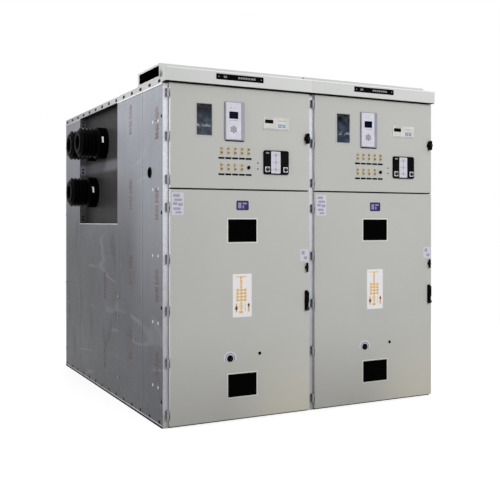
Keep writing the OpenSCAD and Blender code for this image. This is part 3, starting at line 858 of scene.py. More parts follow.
class Form:
    """A mesh under construction, in millimetres."""

    def __init__(self) -> None:
        """Start with an empty mesh in the board's own place."""
        self.mesh = bmesh.new()
        self.finishes: list[Finish] = []
        self.origin = Vector()

    def at(self, bay: Bay) -> "Form":
        """Build what follows in a bay's place."""
        self.origin = bay.origin
        return self

    def _number(self, finish: Finish) -> int:
        """Find a finish's number in this mesh, which takes the finish in when it is new.

        Args:
            finish: The finish.

        Returns:
            Its material number.
        """
        if finish not in self.finishes:
            self.finishes.append(finish)
        return self.finishes.index(finish)

    def _join(self, part: Mesh) -> None:
        """Move a part, which has its finishes, into this mesh.

        Args:
            part: The part, which is freed.
        """
        step = bpy.data.meshes.new("part")
        part.to_mesh(step)
        part.free()
        self.mesh.from_mesh(step)
        bpy.data.meshes.remove(step)

    def _add(self, part: Mesh, finish: Finish) -> None:
        """Give a part one finish and move it to the bay's place in this mesh.

        Args:
            part: The part, which is freed.
            finish: Its finish.
        """
        number = self._number(finish)
        for face in part.faces:
            face.material_index = number
        bmesh.ops.recalc_face_normals(part, faces=part.faces)
        bmesh.ops.translate(part, vec=self.origin, verts=part.verts)
        self._join(part)

    @staticmethod
    def _cube(low: Point, high: Point) -> Mesh:
        """Start a part as a box between two corners.

        Args:
            low: Its low corner.
            high: Its high corner.

        Returns:
            The part.
        """
        part = bmesh.new()
        size = Matrix.Diagonal((*(Vector(high) - Vector(low)), 1.0))
        middle = Matrix.Translation((Vector(high) + Vector(low)) / 2)
        bmesh.ops.create_cube(part, size=1.0, matrix=middle @ size)
        return part

    def block(self, low: Point, high: Point, finish: Finish, edge: float = 0.0, steps: int = 2) -> None:
        """Add a block with all edges rounded.

        Args:
            low: Its low corner.
            high: Its high corner.
            finish: Its finish.
            edge: Width of the rounding.
            steps: Steps across the rounding.
        """
        part = self._cube(low, high)
        if edge:
            bevel(part, part.edges, edge, steps)
        self._add(part, finish)

    def plate(
        self, low: Point, high: Point, finish: Finish, corner: float, edge: float, steps: int = 3,
    ) -> None:
        """Add a plate that faces the front, with round corners and a softened front edge.

        Args:
            low: Its low corner, on the front face.
            high: Its high corner, on the back.
            finish: Its finish.
            corner: Radius of the corners.
            edge: Width of the front edge's rounding.
            steps: Steps across the front edge.
        """
        part = self._cube(low, high)
        bevel(part, deep_edges(part), corner, 2 * steps)
        front = [e for e in part.edges if all(abs(v.co.y - low[1]) < TOUCH for v in e.verts)]
        bevel(part, front, edge, steps)
        self._add(part, finish)

    def rod(
        self, place: Matrix, radius: float, length: float, finish: Finish,
        edge: float = 0.0, sides: int = 32,
    ) -> None:
        """Add a round or many-sided rod that stands on its place.

        Args:
            place: Its foot, with its axis along the place's own Z.
            radius: Its radius.
            length: Its length.
            finish: Its finish.
            edge: Width of the rounding at its ends.
            sides: Number of sides.
        """
        part = bmesh.new()
        bmesh.ops.create_cone(
            part, cap_ends=True, segments=sides, radius1=radius, radius2=radius,
            depth=length, matrix=place @ Matrix.Translation((0.0, 0.0, length / 2)),
        )
        if edge:
            ends = {e for face in part.faces if len(face.verts) == sides for e in face.edges}
            bevel(part, list(ends), edge)
        self._add(part, finish)

    def turned(
        self, place: Matrix, profile: Profile, finish: Finish,
        steps: int, turn: float = math.tau, start: float = 0.0,
    ) -> None:
        """Add a turned shape.

        Args:
            place: Its foot, with its axis along the place's own Z.
            profile: Radius and height of each point of the outline. The outline is closed.
            finish: Its finish.
            steps: Number of steps round the turn.
            turn: Angle of the turn.
            start: Angle at which the turn starts.
        """
        part = bmesh.new()
        first = Matrix.Rotation(start, 4, "Z")
        verts = [part.verts.new(first @ Vector((radius, 0.0, height))) for radius, height in profile]
        part.faces.new(verts)
        whole = turn >= math.tau
        if whole:
            bmesh.ops.delete(part, geom=part.faces[:], context="FACES_ONLY")
        outline = part.verts[:] + part.edges[:] + part.faces[:]
        bmesh.ops.spin(
            part, geom=outline, axis=(0.0, 0.0, 1.0), cent=(0.0, 0.0, 0.0),
            angle=turn, steps=steps, use_merge=whole, use_duplicate=False,
        )
        bmesh.ops.remove_doubles(part, verts=part.verts, dist=TOUCH)
        bmesh.ops.transform(part, matrix=place, verts=part.verts)
        self._add(part, finish)

    def rim(
        self, low: Point, high: Point, width: float, finish: Finish, edge: float, corner: float = 0.0,
    ) -> None:
        """Add a frame that faces the front, open in its middle.

        Args:
            low: Low corner of its outline, on the front face.
            high: High corner of its outline, on the back.
            width: Width of its bars.
            finish: Its finish.
            edge: Width of its edges' rounding.
            corner: Radius of its corners.
        """
        part = self._cube(low, high)
        sides = [f for f in part.faces if abs(f.normal.y) < FACING]
        bmesh.ops.delete(part, geom=sides, context="FACES")
        middles = part.faces[:]
        bmesh.ops.inset_individual(part, faces=middles, thickness=width, use_even_offset=True)
        bmesh.ops.delete(part, geom=middles, context="FACES")

        def outlined(vert: bmesh.types.BMVert) -> bool:
            """Tell whether a vertex lies on the outline."""
            x, z = vert.co.xz
            return min(x - low[0], high[0] - x, z - low[2], high[2] - z) < TOUCH

        loops = [e for e in part.edges if e.is_boundary]
        outer = [e for e in loops if any(outlined(v) for v in e.verts)]
        inner = [e for e in loops if e not in outer]
        for loop in (outer, inner):
            bmesh.ops.bridge_loops(part, edges=loop)
        bmesh.ops.recalc_face_normals(part, faces=part.faces)
        if corner:
            bevel(part, deep_edges(part), corner, steps=4)
        bevel(part, [e for e in part.edges if e.calc_face_angle(0.0) > BENT], edge)
        self._add(part, finish)

    def softened(
        self, solid: bpy.types.Object, width: float, finish_of: FinishOf, shortest: float = 14.0,
    ) -> None:
        """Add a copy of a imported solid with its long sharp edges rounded.

        Args:
            solid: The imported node.
            width: Width of the rounding.
            finish_of: Gives the finish of a face, whose places are the board's millimetres.
            shortest: Edges shorter than this stay sharp.
        """
        part = bmesh.new()
        part.from_mesh(solid.data)
        bmesh.ops.scale(part, vec=Vector((1.0, 1.0, 1.0)) / MM, verts=part.verts)
        bmesh.ops.remove_doubles(part, verts=part.verts, dist=TOUCH)
        bmesh.ops.dissolve_limit(part, angle_limit=LEVEL, verts=part.verts[:], edges=part.edges[:])
        sharp = [e for e in part.edges if e.calc_face_angle(0.0) > BENT and e.calc_length() > shortest]
        bevel(part, sharp, width)
        part.normal_update()
        for face in part.faces:
            face.material_index = self._number(finish_of(face))
        self._join(part)

    @staticmethod
    def _hard(edge: Edge) -> bool:
        """Tell whether the shading breaks at an edge.

        Args:
            edge: The edge.

        Returns:
            True for an open or sharp edge, and for one between a wide face and a narrow one.
        """
        if len(edge.link_faces) != 2:
            return True
        small, large = sorted(face.calc_area() for face in edge.link_faces)
        angle = edge.calc_face_angle(0.0)
        return angle > SHARP or (angle > FLAT and large > WIDE * small)

    def piece(self, name: str, slot: Slot, *replaced: str, body: str = ROOT) -> None:
        """Close the mesh and make it a piece of the part.

        Args:
            name: The piece's name.
            slot: Not used.
            replaced: The nodes that it stands for.
            body: The body it rides on.
        """
        bmesh.ops.dissolve_degenerate(self.mesh, dist=TOUCH, edges=self.mesh.edges[:])
        for edge in self.mesh.edges:
            edge.smooth = not self._hard(edge)
        bmesh.ops.scale(self.mesh, vec=Vector((MM, MM, MM)), verts=self.mesh.verts)
        mesh = bpy.data.meshes.new(name)
        self.mesh.to_mesh(mesh)
        self.mesh.free()
        for finish in self.finishes:
            mesh.materials.append(finish.material())
        mesh.polygons.foreach_set("use_smooth", [True] * len(mesh.polygons))
        made = bpy.data.objects.new(name, mesh)
        bpy.context.scene.collection.objects.link(made)
        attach(made, body)
        if replaced:
            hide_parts(*replaced)
        LOG.info("%s: %d faces on %s", name, len(mesh.polygons), body)


class SharedPiece:
    """A sub-assembly that each bay has, built as one piece of the switchboard."""

    piece: ClassVar[str]
    slot: ClassVar[Slot]
    stands_for: ClassVar[Sequence[str]] = ()

    def build(self, board: Board) -> None:
        """Build the piece in both bays.

        Args:
            board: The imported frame.
        """
        form = Form()
        for bay in board.bays:
            self.fill(form.at(bay), board)
        form.piece(self.piece, self.slot, *self.stands_for)

    def fill(self, form: Form, board: Board) -> None:
        """Add one bay's share of the piece to a mesh that builds in the bay's place."""
        raise NotImplementedError


@dataclass(frozen=True)
class HexBolt:
    """A hexagon bolt with its washer."""

    head_r: float = 7.5
    head_h: float = 5.0
    washer_r: float = 11.0
    washer_h: float = 1.6
    head_edge: float = 0.8
    washer_edge: float = 0.5

    def fit(self, form: Form, place: Matrix) -> None:
        """Add the bolt to a mesh.

        Args:
            form: The mesh.
            place: Where the washer lies.
        """
        form.rod(place, self.washer_r, self.washer_h, DULL_ZINC, self.washer_edge, sides=20)
        on_washer = place @ Matrix.Translation((0.0, 0.0, self.washer_h))
        form.rod(on_washer, self.head_r, self.head_h, ZINC, self.head_edge, sides=6)


@dataclass(frozen=True)
class PanScrew:
    """A round-headed screw."""

    radius: float
    height: float
    pole: float = 0.3

    def fit(self, form: Form, place: Matrix, finish: Finish) -> None:
        """Add the screw to a mesh.

        Args:
            form: The mesh.
            place: Where the head lies.
            finish: The head's finish.
        """
        r, h, pole = self.radius, self.height, self.pole
        head = [(pole, 0.0), (r, 0.0), (r, 0.35 * h), (0.7 * r, 0.85 * h), (pole, h)]
        form.turned(place, head, finish, steps=16)


@dataclass(frozen=True)
class Display:
    """A sunk display in a black bezel."""

    size: Pair
    bezel: float
    proud: float
    glass: Finish

    def fit(self, form: Form, x: float, z: float, front: float) -> None:
        """Add the display to a mesh.

        Args:
            form: The mesh.
            x: Its middle across the bay.
            z: Height of its middle.
            front: The face that it stands on.
        """
        wide, tall = self.size
        b = self.bezel
        form.rim(*around(x, z, self.size, front - 0.4 * b, front), b, BLACK, 0.15 * b)
        pane = (wide - 2 * b, tall - 2 * b)
        form.block(*around(x, z, pane, front - self.proud, front), self.glass)


@dataclass(frozen=True)
class KeyRing:
    """A ring of keys that all point out of its middle."""

    count: int
    ring: float
    radius: float
    proud: float
    edge: float
    finish: Finish
    sides: int
    twist: float = 0.0

    def fit(self, form: Form, x: float, z: float, front: float) -> None:
        """Add the keys to a mesh.

        Args:
            form: The mesh.
            x: The ring's middle across the bay.
            z: Height of its middle.
            front: The face that it stands on.
        """
        for n in range(self.count):
            angle = math.tau * (n + 0.5) / self.count
            spot = (x + self.ring * math.cos(angle), z + self.ring * math.sin(angle))
            place = facing_front(*spot, front) @ Matrix.Rotation(angle + self.twist, 4, "Z")
            form.rod(place, self.radius, self.proud, self.finish, self.edge, sides=self.sides)


@dataclass
class SheetMetal:
    """The frame members, sheets and compartment walls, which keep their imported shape, by their finish."""

    groups: Sequence[tuple[Finish, Sequence[str]]] = (
        (FRAME_STEEL, ("base_side_members", "base_cross_members", "anchor_feet", "rear_posts")),
        (FRAME_STEEL, ("top_side_rails", "top_cross_rails")),
        (POST_STEEL, ("front_posts",)),
        (SHEET, ("left_front_side_sheet", "left_middle_side_sheet", "left_lower_side_sheet")),
        (SHEET, ("left_rear_side_sheet", "right_end_sheet", "seam_sheets")),
        (ROOF_SHEET, ("roof_sheets", "relief_flaps")),
        (INNER_SHEET, ("breaker_back_sheets", "breaker_floors", "instrument_floors", "instrument_backs")),
        (POCKET_PLATE, ("bushing_plate",)),
        (POCKET_POST, ("pocket_posts",)),
    )

    def build(self, board: Board) -> None:
        """Give each carried-over node its finish.

        Args:
            board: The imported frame.
        """
        for finish, names in self.groups:
            for name in names:
                materials = board.nodes[name].data.materials
                materials.clear()
                materials.append(finish.material())
                LOG.info("%s: %s", name, finish.name)


@dataclass
class PaintedPans:
    """Doors, fascias, wire ducts and rear covers: folded pans with softened edges."""

    fold: float = 1.1
    knuckle_reach: float = 3.0
    skin: float = 2.0

    def build(self, board: Board) -> None:
        """Build every painted pan.

        Args:
            board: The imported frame.
        """
        knuckles = board.span("left_hinge_leaves").high.x + self.knuckle_reach
        for bay in board.bays:
            hinge_line = bay.origin.x + knuckles

            def door_finish(face: Face, line: float = hinge_line) -> Finish:
                """Choose zinc for the knuckles, paint for the pan and a paler paint of painted light for its
                hinge-side edge.

                Args:
                    face: A face of the door.
                    line: Where the knuckles end.

                Returns:
                    Its finish.
                """
                if face.calc_center_median().x < line:
                    return HINGE_ZINC
                return LIT_EDGE_PAINT if face.normal.x < -FACING else DOOR_PAINT

            for piece, body in (("upper_door", ROOT), ("lower_door", bay.node("door"))):
                self._pan(board, bay.node(piece), door_finish, body)
            self._pan(board, bay.node("fascia"), self._fascia_finish)
        low, high = (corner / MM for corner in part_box("wire_ducts"))

        def duct_finish(face: Face) -> Finish:
            """Choose black, as painted shade, for the inside of the duct and paint for its outside and its
            ends.

            Args:
                face: A face of the duct.

            Returns:
                Its finish.
            """
            middle = face.calc_center_median()
            walls = (middle.y - low.y, high.y - middle.y, middle.z - low.z, high.z - middle.z)
            if min(walls) > self.skin and abs(face.normal.x) < FACING:
                return RUBBER
            return self._fascia_finish(face)

        self._pan(board, "wire_ducts", duct_finish)
        self._pan(board, "rear_covers", lambda face: DOOR_PAINT)

    @staticmethod
    def _fascia_finish(face: Face) -> Finish:
        """Choose the paint of a fascia's front, or a darker paint of painted shade for its two ends."""
        return SHADED_END_PAINT if abs(face.normal.x) > FACING else FASCIA_PAINT

    def _pan(self, board: Board, node: str, finish_of: FinishOf, body: str = ROOT) -> None:
        """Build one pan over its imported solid.

        Args:
            board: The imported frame.
            node: The solid's node.
            finish_of: Gives the finish of a face.
            body: The body that the pan rides on.
        """
        form = Form()
        form.softened(board.nodes[node], self.fold, finish_of)
        form.piece(f"{node}_pan", Slot.PAINT, node, body=body)


@dataclass
class DuctRims(SharedPiece):
    """The folded rim round the opening at each end of the wire ducts, in the darker paint of painted shade.
    """

    piece = "duct_rims"
    slot = Slot.PAINT
    lip: float = 16.0
    front_flange: float = 12.0
    rear_flange: float = 36.0
    wall: float = 2.5
    proud: float = 0.8
    edge: float = 0.5

    def fill(self, form: Form, board: Board) -> None:
        """Add the rims at both ends of a bay's duct.

        Args:
            form: The mesh.
            board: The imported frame.
        """
        duct = board.span("wire_ducts")
        left_end = (duct.low.x - self.proud, duct.low.x + self.wall)
        right_end = (duct.high.x - self.wall, duct.high.x + self.proud)
        front, back = duct.low.y + self.wall, duct.high.y - self.wall
        foot, head = duct.low.z + self.lip, duct.high.z - self.lip
        bars = (
            (front, duct.low.z + self.wall, back, foot),
            (front, head, back, duct.high.z - self.wall),
            (front, foot, duct.low.y + self.front_flange, head),
            (duct.high.y - self.rear_flange, foot, back, head),
        )
        for left, right in (left_end, right_end):
            for low_y, low_z, high_y, high_z in bars:
                form.block((left, low_y, low_z), (right, high_y, high_z), SHADED_END_PAINT, self.edge)


@dataclass
class FasciaHighlights(SharedPiece):
    """A painted highlight: a pale strip along the flattened fold at the head of each fascia."""

    piece = "fascia_head_highlights"
    slot = Slot.PAINT
    height: float = 7.0
    proud: float = 0.8
    inset: float = 2.0
    edge: float = 0.3

    def fill(self, form: Form, board: Board) -> None:
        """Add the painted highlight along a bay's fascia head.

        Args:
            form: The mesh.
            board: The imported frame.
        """
        fascia = board.span("left_fascia")
        front, head = fascia.low.y, fascia.high.z - self.inset
        low = (fascia.low.x + self.inset, front - self.proud, head - self.height)
        high = (fascia.high.x - self.inset, front + self.proud, head)
        form.block(low, high, HIGHLIGHT_PAINT, self.edge)


@dataclass
class ShadeStrips(SharedPiece):
    """Black strips of painted shade under each fascia and upper door, and on the base under each lower door.
    """

    piece = "door_shade_strips"
    slot = Slot.PLASTIC
    fascia_drop: float = 3.0
    split_drop: float = 7.0
    inset: float = 3.0
    door_left: float = 48.0
    foot_h: float = 9.0
    foot_t: float = 2.0
    edge: float = 0.8

    def fill(self, form: Form, board: Board) -> None:
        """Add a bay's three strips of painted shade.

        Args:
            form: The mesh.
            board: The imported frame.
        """
        fascia, door = board.span("left_fascia"), board.span("left_upper_door")
        base = board.span("base_cross_members")
        low = (fascia.low.x + self.inset, fascia.low.y + self.inset, fascia.low.z - self.fascia_drop)
        form.block(low, (fascia.high.x - self.inset, fascia.high.y, fascia.low.z), RUBBER, self.edge)
        low = (self.door_left + self.inset, self.inset, door.low.z - self.split_drop)
        form.block(low, (door.high.x - self.inset, door.high.y, door.low.z), RUBBER, self.edge)
        low = (self.door_left, base.low.y - self.foot_t, base.low.z)
        form.block(low, (door.high.x, base.low.y, base.low.z + self.foot_h), RUBBER, self.edge)


@dataclass
class Hinges:
    """The fixed hinge leaves with their pins and screws."""

    fold: float = 0.8
    shortest: float = 3.0
    screw: PanScrew = PanScrew(3.5, 1.8)
    screw_rise: float = 20.0
    screw_inset: float = 5.0
    leaf_t: float = 4.0
    lower_count: int = 5
    upper_count: int = 3
    lower_first: float = 97.0
    lower_drop: float = 132.0
    upper_rise: float = 66.0

    def build(self, board: Board) -> None:
        """Build both bays' hinge leaves.

        Args:
            board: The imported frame.
        """
        leaves = board.span("left_hinge_leaves")
        leaf_h = self.lower_first - leaves.low.z
        lower = spread(self.lower_first, board.split - self.lower_drop, self.lower_count)
        upper = spread(board.split + self.upper_rise, leaves.high.z - leaf_h, self.upper_count)
        leaf_front = board.span("front_posts").low.y - self.leaf_t
        for bay in board.bays:
            name, form = bay.node("hinge_leaves"), Form().at(bay)
            form.softened(board.nodes[name], self.fold, lambda face: HINGE_ZINC, self.shortest)
            for z in lower + upper:
                for rise in (-self.screw_rise, self.screw_rise):
                    place = facing_front(leaves.low.x + self.screw_inset, z + rise, leaf_front)
                    self.screw.fit(form, place, DARK_STEEL)
            form.piece(f"{name}_zinc", Slot.ZINC, name)


@dataclass
class Windows:
    """Glazed windows: a pane, a rubber seal and a raised rim."""

    rim_width: float = 9.0
    seal_width: float = 4.0
    seal_proud: float = 0.8
    rim_edge: float = 0.9
    seal_edge: float = 0.3
    rim_corner: float = 4.0
    seal_corner: float = 3.0

    def _glaze(self, form: Form, low: Vector, high: Vector, finishes: Sequence[Finish]) -> None:
        """Add one window to a mesh.

        Args:
            form: The mesh.
            low: Low corner of the rim.
            high: High corner of the pane's back and of the rim.
            finishes: Those of the pane, the seal and the rim.
        """
        glass, rubber, paint = finishes
        w, pane_y = self.rim_width, low.y / 2
        form.rim(tuple(low), (high.x, 0.0, high.z), w, paint, self.rim_edge, self.rim_corner)
        left, foot, right, head = low.x + w, low.z + w, high.x - w, high.z - w
        seal = ((left, pane_y - self.seal_proud, foot), (right, 0.0, head))
        form.rim(*seal, self.seal_width, rubber, self.seal_edge, self.seal_corner)
        form.block((left, pane_y, foot), (right, high.y, head), glass)

    def build(self, board: Board) -> None:
        """Build the upper windows and the inspection windows.

        Args:
            board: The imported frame.
        """
        upper = board.span("upper_windows")
        form = Form()
        for bay in board.bays:
            self._glaze(form.at(bay), upper.low, upper.high, (SMOKED, GREY_RUBBER, DOOR_PAINT))
        form.piece("upper_window_glazing", Slot.GLASS, "upper_windows")
        both = board.span("left_inspection_windows")
        height = self._pane_height(board)
        low_top = Vector((both.high.x, both.high.y, both.low.z + height))
        high_foot = Vector((both.low.x, both.low.y, both.high.z - height))
        for bay in board.bays:
            name, form = bay.node("inspection_windows"), Form().at(bay)
            for low, high in ((both.low, low_top), (high_foot, both.high)):
                self._glaze(form, low, high, (DARK_GLASS, RUBBER, HIGHLIGHT_RIM_PAINT))
            form.piece(f"{name}_glazing", Slot.GLASS, name, body=bay.node("door"))

    @staticmethod
    def _pane_height(board: Board) -> float:
        """Measure one inspection window, rim included, from its lower solid.

        Args:
            board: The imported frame.

        Returns:
            The window's height.
        """
        solid = board.nodes["left_inspection_windows"].data
        heights = sorted({round(v.co.z / MM, 1) for v in solid.vertices})
        gaps = [(b - a, a) for a, b in zip(heights, heights[1:])]
        return max(gaps)[1] - heights[0]


@dataclass
class Relay(SharedPiece):
    """The protection relay: silver body, white panel, sunk screen, status dots and a flower of keys."""

    piece = "relay_cases"
    slot = Slot.HOUSING
    stands_for = ("relays",)
    panel_width: float = 122.0
    panel_shift: float = 13.0
    panel_inset: float = 6.0
    panel_proud: float = 4.0
    corner: float = 6.0
    case_edge: float = 2.5
    panel_edge: float = 1.4
    shadow_strip: float = 7.0
    screen: Display = Display((72.0, 52.0), bezel=4.0, proud=0.4, glass=SCREEN_NAVY)
    screen_rise: float = 42.0
    lit: Pair = (48.0, 30.0)
    lit_proud: float = 0.8
    dot_r: float = 3.0
    dot_rise: float = 95.0
    dot_offsets: Sequence[float] = (-26.0, -18.0, 4.0)
    rule: Pair = (72.0, 2.4)
    rule_proud: float = 0.48
    rule_drop: float = 38.8
    keys: KeyRing = KeyRing(
        count=6, ring=19.0, radius=10.5, proud=2.4, edge=0.8, finish=KEY_GREY, sides=4,
    )
    middle_key_r: float = 8.4
    key_drop: float = 62.0

    def fill(self, form: Form, board: Board) -> None:
        """Add a bay's relay.

        Args:
            form: The mesh.
            board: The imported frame.
        """
        span = board.span("relays")
        x, z, front = span.middle.x - self.panel_shift, span.middle.z, span.low.y
        self._body(form, span, x)
        self._screen(form, x, z, front)
        keys, z = self.keys, z - self.key_drop
        place = facing_front(x, z, front)
        form.rod(place, self.middle_key_r, keys.proud, keys.finish, keys.edge, sides=20)
        keys.fit(form, x, z, front)

    def _body(self, form: Form, span: Span, x: float) -> None:
        """Add the case, a black strip of painted shadow that shows below it, and the raised panel.

        Args:
            form: The mesh.
            span: Where the relay is.
            x: The panel's middle across the bay.
        """
        z, front = span.middle.z, span.low.y
        step = front + self.panel_proud
        low, high = (span.low.x, step, span.low.z), (span.high.x, 0.0, span.high.z)
        form.plate(low, high, CASE_SILVER, self.corner, self.case_edge)
        # Painted shadow: a black strip that shows below the case
        low = (span.low.x + self.shadow_strip, step / 2, span.low.z - self.shadow_strip)
        form.plate(low, (span.high.x, 0.0, z), RUBBER, self.corner, self.case_edge)
        panel = (self.panel_width, span.size.z - 2 * self.panel_inset)
        form.plate(*around(x, z, panel, front, step), PANEL_WHITE, self.corner, self.panel_edge)

    def _screen(self, form: Form, x: float, z: float, front: float) -> None:
        """Add the screen with its bezel, the dots above it and the printed rule below it.

        Args:
            form: The mesh.
            x: The panel's middle across the bay.
            z: Height of the relay's middle.
            front: The panel's face.
        """
        middle = z + self.screen_rise
        self.screen.fit(form, x, middle, front)
        form.block(*around(x, middle, self.lit, front - self.lit_proud, front), SCREEN_LIT)
        r = self.dot_r
        dome = [(0.1 * r, 0.0), (r, 0.0), (0.8 * r, 0.3 * r), (0.1 * r, 0.5 * r)]
        for offset in self.dot_offsets:
            form.turned(facing_front(x + offset, z + self.dot_rise, front), dome, GREY_PRINT, steps=12)
        rule = around(x, middle - self.rule_drop, self.rule, front - self.rule_proud, front)
        form.block(*rule, GREY_PRINT)


@dataclass
class HumidityController(SharedPiece):
    """The humidity controller: flat pale case, dark display, printed rules and arrow keys."""

    piece = "humidity_controller_cases"
    slot = Slot.HOUSING
    stands_for = ("humidity_controllers",)
    corner: float = 5.0
    case_edge: float = 2.0
    display: Display = Display((70.0, 28.0), bezel=3.0, proud=0.45, glass=SCREEN_RED)
    display_at: Pair = (-62.0, 15.0)
    keys: KeyRing = KeyRing(
        count=4, ring=10.0, radius=9.5, proud=1.6, edge=0.4, finish=KEY_BLUE, sides=3,
        twist=-math.pi / 2,
    )
    keys_at: Sequence[Pair] = ((31.0, -15.0), (65.0, -15.0))
    rules: Sequence[Point] = ((-98.0, -22.0, 38.0), (14.0, 92.0, 22.0), (-100.0, 100.0, -41.0))
    rule_h: float = 3.0
    rule_proud: float = 0.45

    def fill(self, form: Form, board: Board) -> None:
        """Add a bay's controller.

        Args:
            form: The mesh.
            board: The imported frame.
        """
        span = board.span("humidity_controllers")
        front, x, z = span.low.y, span.middle.x, span.middle.z
        high = (span.high.x, 0.0, span.high.z)
        form.plate(tuple(span.low), high, METER_GREY, self.corner, self.case_edge)
        self.display.fit(form, x + self.display_at[0], z + self.display_at[1], front)
        for start, end, rise in self.rules:
            low = (x + start, front - self.rule_proud, z + rise)
            form.block(low, (x + end, front, z + rise + self.rule_h), GREY_PRINT)
        for across, up in self.keys_at:
            self.keys.fit(form, x + across, z + up, front)


@dataclass
class StatusUnit(SharedPiece):
    """The switch status unit: black case, pale strip with a one-line diagram and two knobs."""

    piece = "status_unit_cases"
    slot = Slot.PLASTIC
    stands_for = ("status_units",)
    corner: float = 16.0
    case_edge: float = 3.5
    strip_width: float = 80.0
    strip_shift: float = 8.0
    strip_end: float = 8.0
    strip_proud: float = 2.0
    strip_corner: float = 6.0
    film: float = 0.5
    line: float = 2.4
    symbol: Pair = (6.0, 9.5)
    symbol_count: int = 3
    mark: Pair = (10.0, 5.0)
    mark_offset: float = 24.0
    knob_r: float = 14.0
    knob_proud: float = 8.0
    knob_edge: float = 1.6
    knob_side: float = 29.0
    knob_foot: float = 38.0
    scale: Pair = (40.0, 40.0)
    scale_corner: float = 5.0
    badge: Pair = (26.0, 9.0)
    badge_inset: float = 16.0

    def fill(self, form: Form, board: Board) -> None:
        """Add a bay's status unit.

        Args:
            form: The mesh.
            board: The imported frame.
        """
        span = board.span("status_units")
        face = span.low.y + self.knob_proud
        low, high = (span.low.x, face, span.low.z), (span.high.x, 0.0, span.high.z)
        form.plate(low, high, BLACK, self.corner, self.case_edge)
        self._strip(form, span, face)
        self._knobs(form, span, face)
        left, top = span.low.x + self.badge_inset, span.high.z - self.badge_inset
        low = (left, face - self.film, top - self.badge[1])
        form.block(low, (left + self.badge[0], face, top), LILAC_PRINT)

    def _strip(self, form: Form, span: Span, face: float) -> None:
        """Add the pale strip with its switch symbols.

        Args:
            form: The mesh.
            span: Where the unit is.
            face: The front of its case.
        """
        x, half, t = span.middle.x - self.strip_shift, self.strip_width / 2, self.line
        front = face - self.strip_proud
        print_y = front - self.film
        foot, head = span.low.z + self.strip_end, span.high.z - self.strip_end
        form.plate((x - half, front, foot), (x + half, face, head), WHITE_PRINT, self.strip_corner, self.film)
        first, last = foot + half / 2, head - half / 2
        form.block((x - t / 2, print_y, first), (x + t / 2, front, last), GREY_PRINT)
        form.block((x - half / 2, print_y, last), (x + half / 2, front, last + t), GREY_PRINT)
        circle = ring(*self.symbol, 0.0, 2 * self.film)
        for z in spread(first, last, self.symbol_count, self.symbol[1]):
            form.turned(facing_front(x, z, front), circle, KEY_GREY, steps=20)
            for side in (-self.mark_offset, self.mark_offset):
                form.block(*around(x + side, z, self.mark, print_y, front), LILAC_PRINT)

    def _knobs(self, form: Form, span: Span, face: float) -> None:
        """Add the two knobs with their white scales and pointers.

        Args:
            form: The mesh.
            span: Where the unit is.
            face: The front of its case.
        """
        z, half = span.low.z + self.knob_foot, self.line / 2
        front = face - self.knob_proud
        for x in (span.low.x + self.knob_side, span.high.x - self.knob_side):
            scale = around(x, z, self.scale, face - self.film, face)
            form.plate(*scale, WHITE_PRINT, self.scale_corner, self.film / 2, steps=2)
            form.rod(facing_front(x, z, face), self.knob_r, self.knob_proud, BLACK, self.knob_edge)
            low, high = (x - half, front - self.film, z), (x + half, front, z + 0.8 * self.knob_r)
            form.block(low, high, WHITE_PRINT)


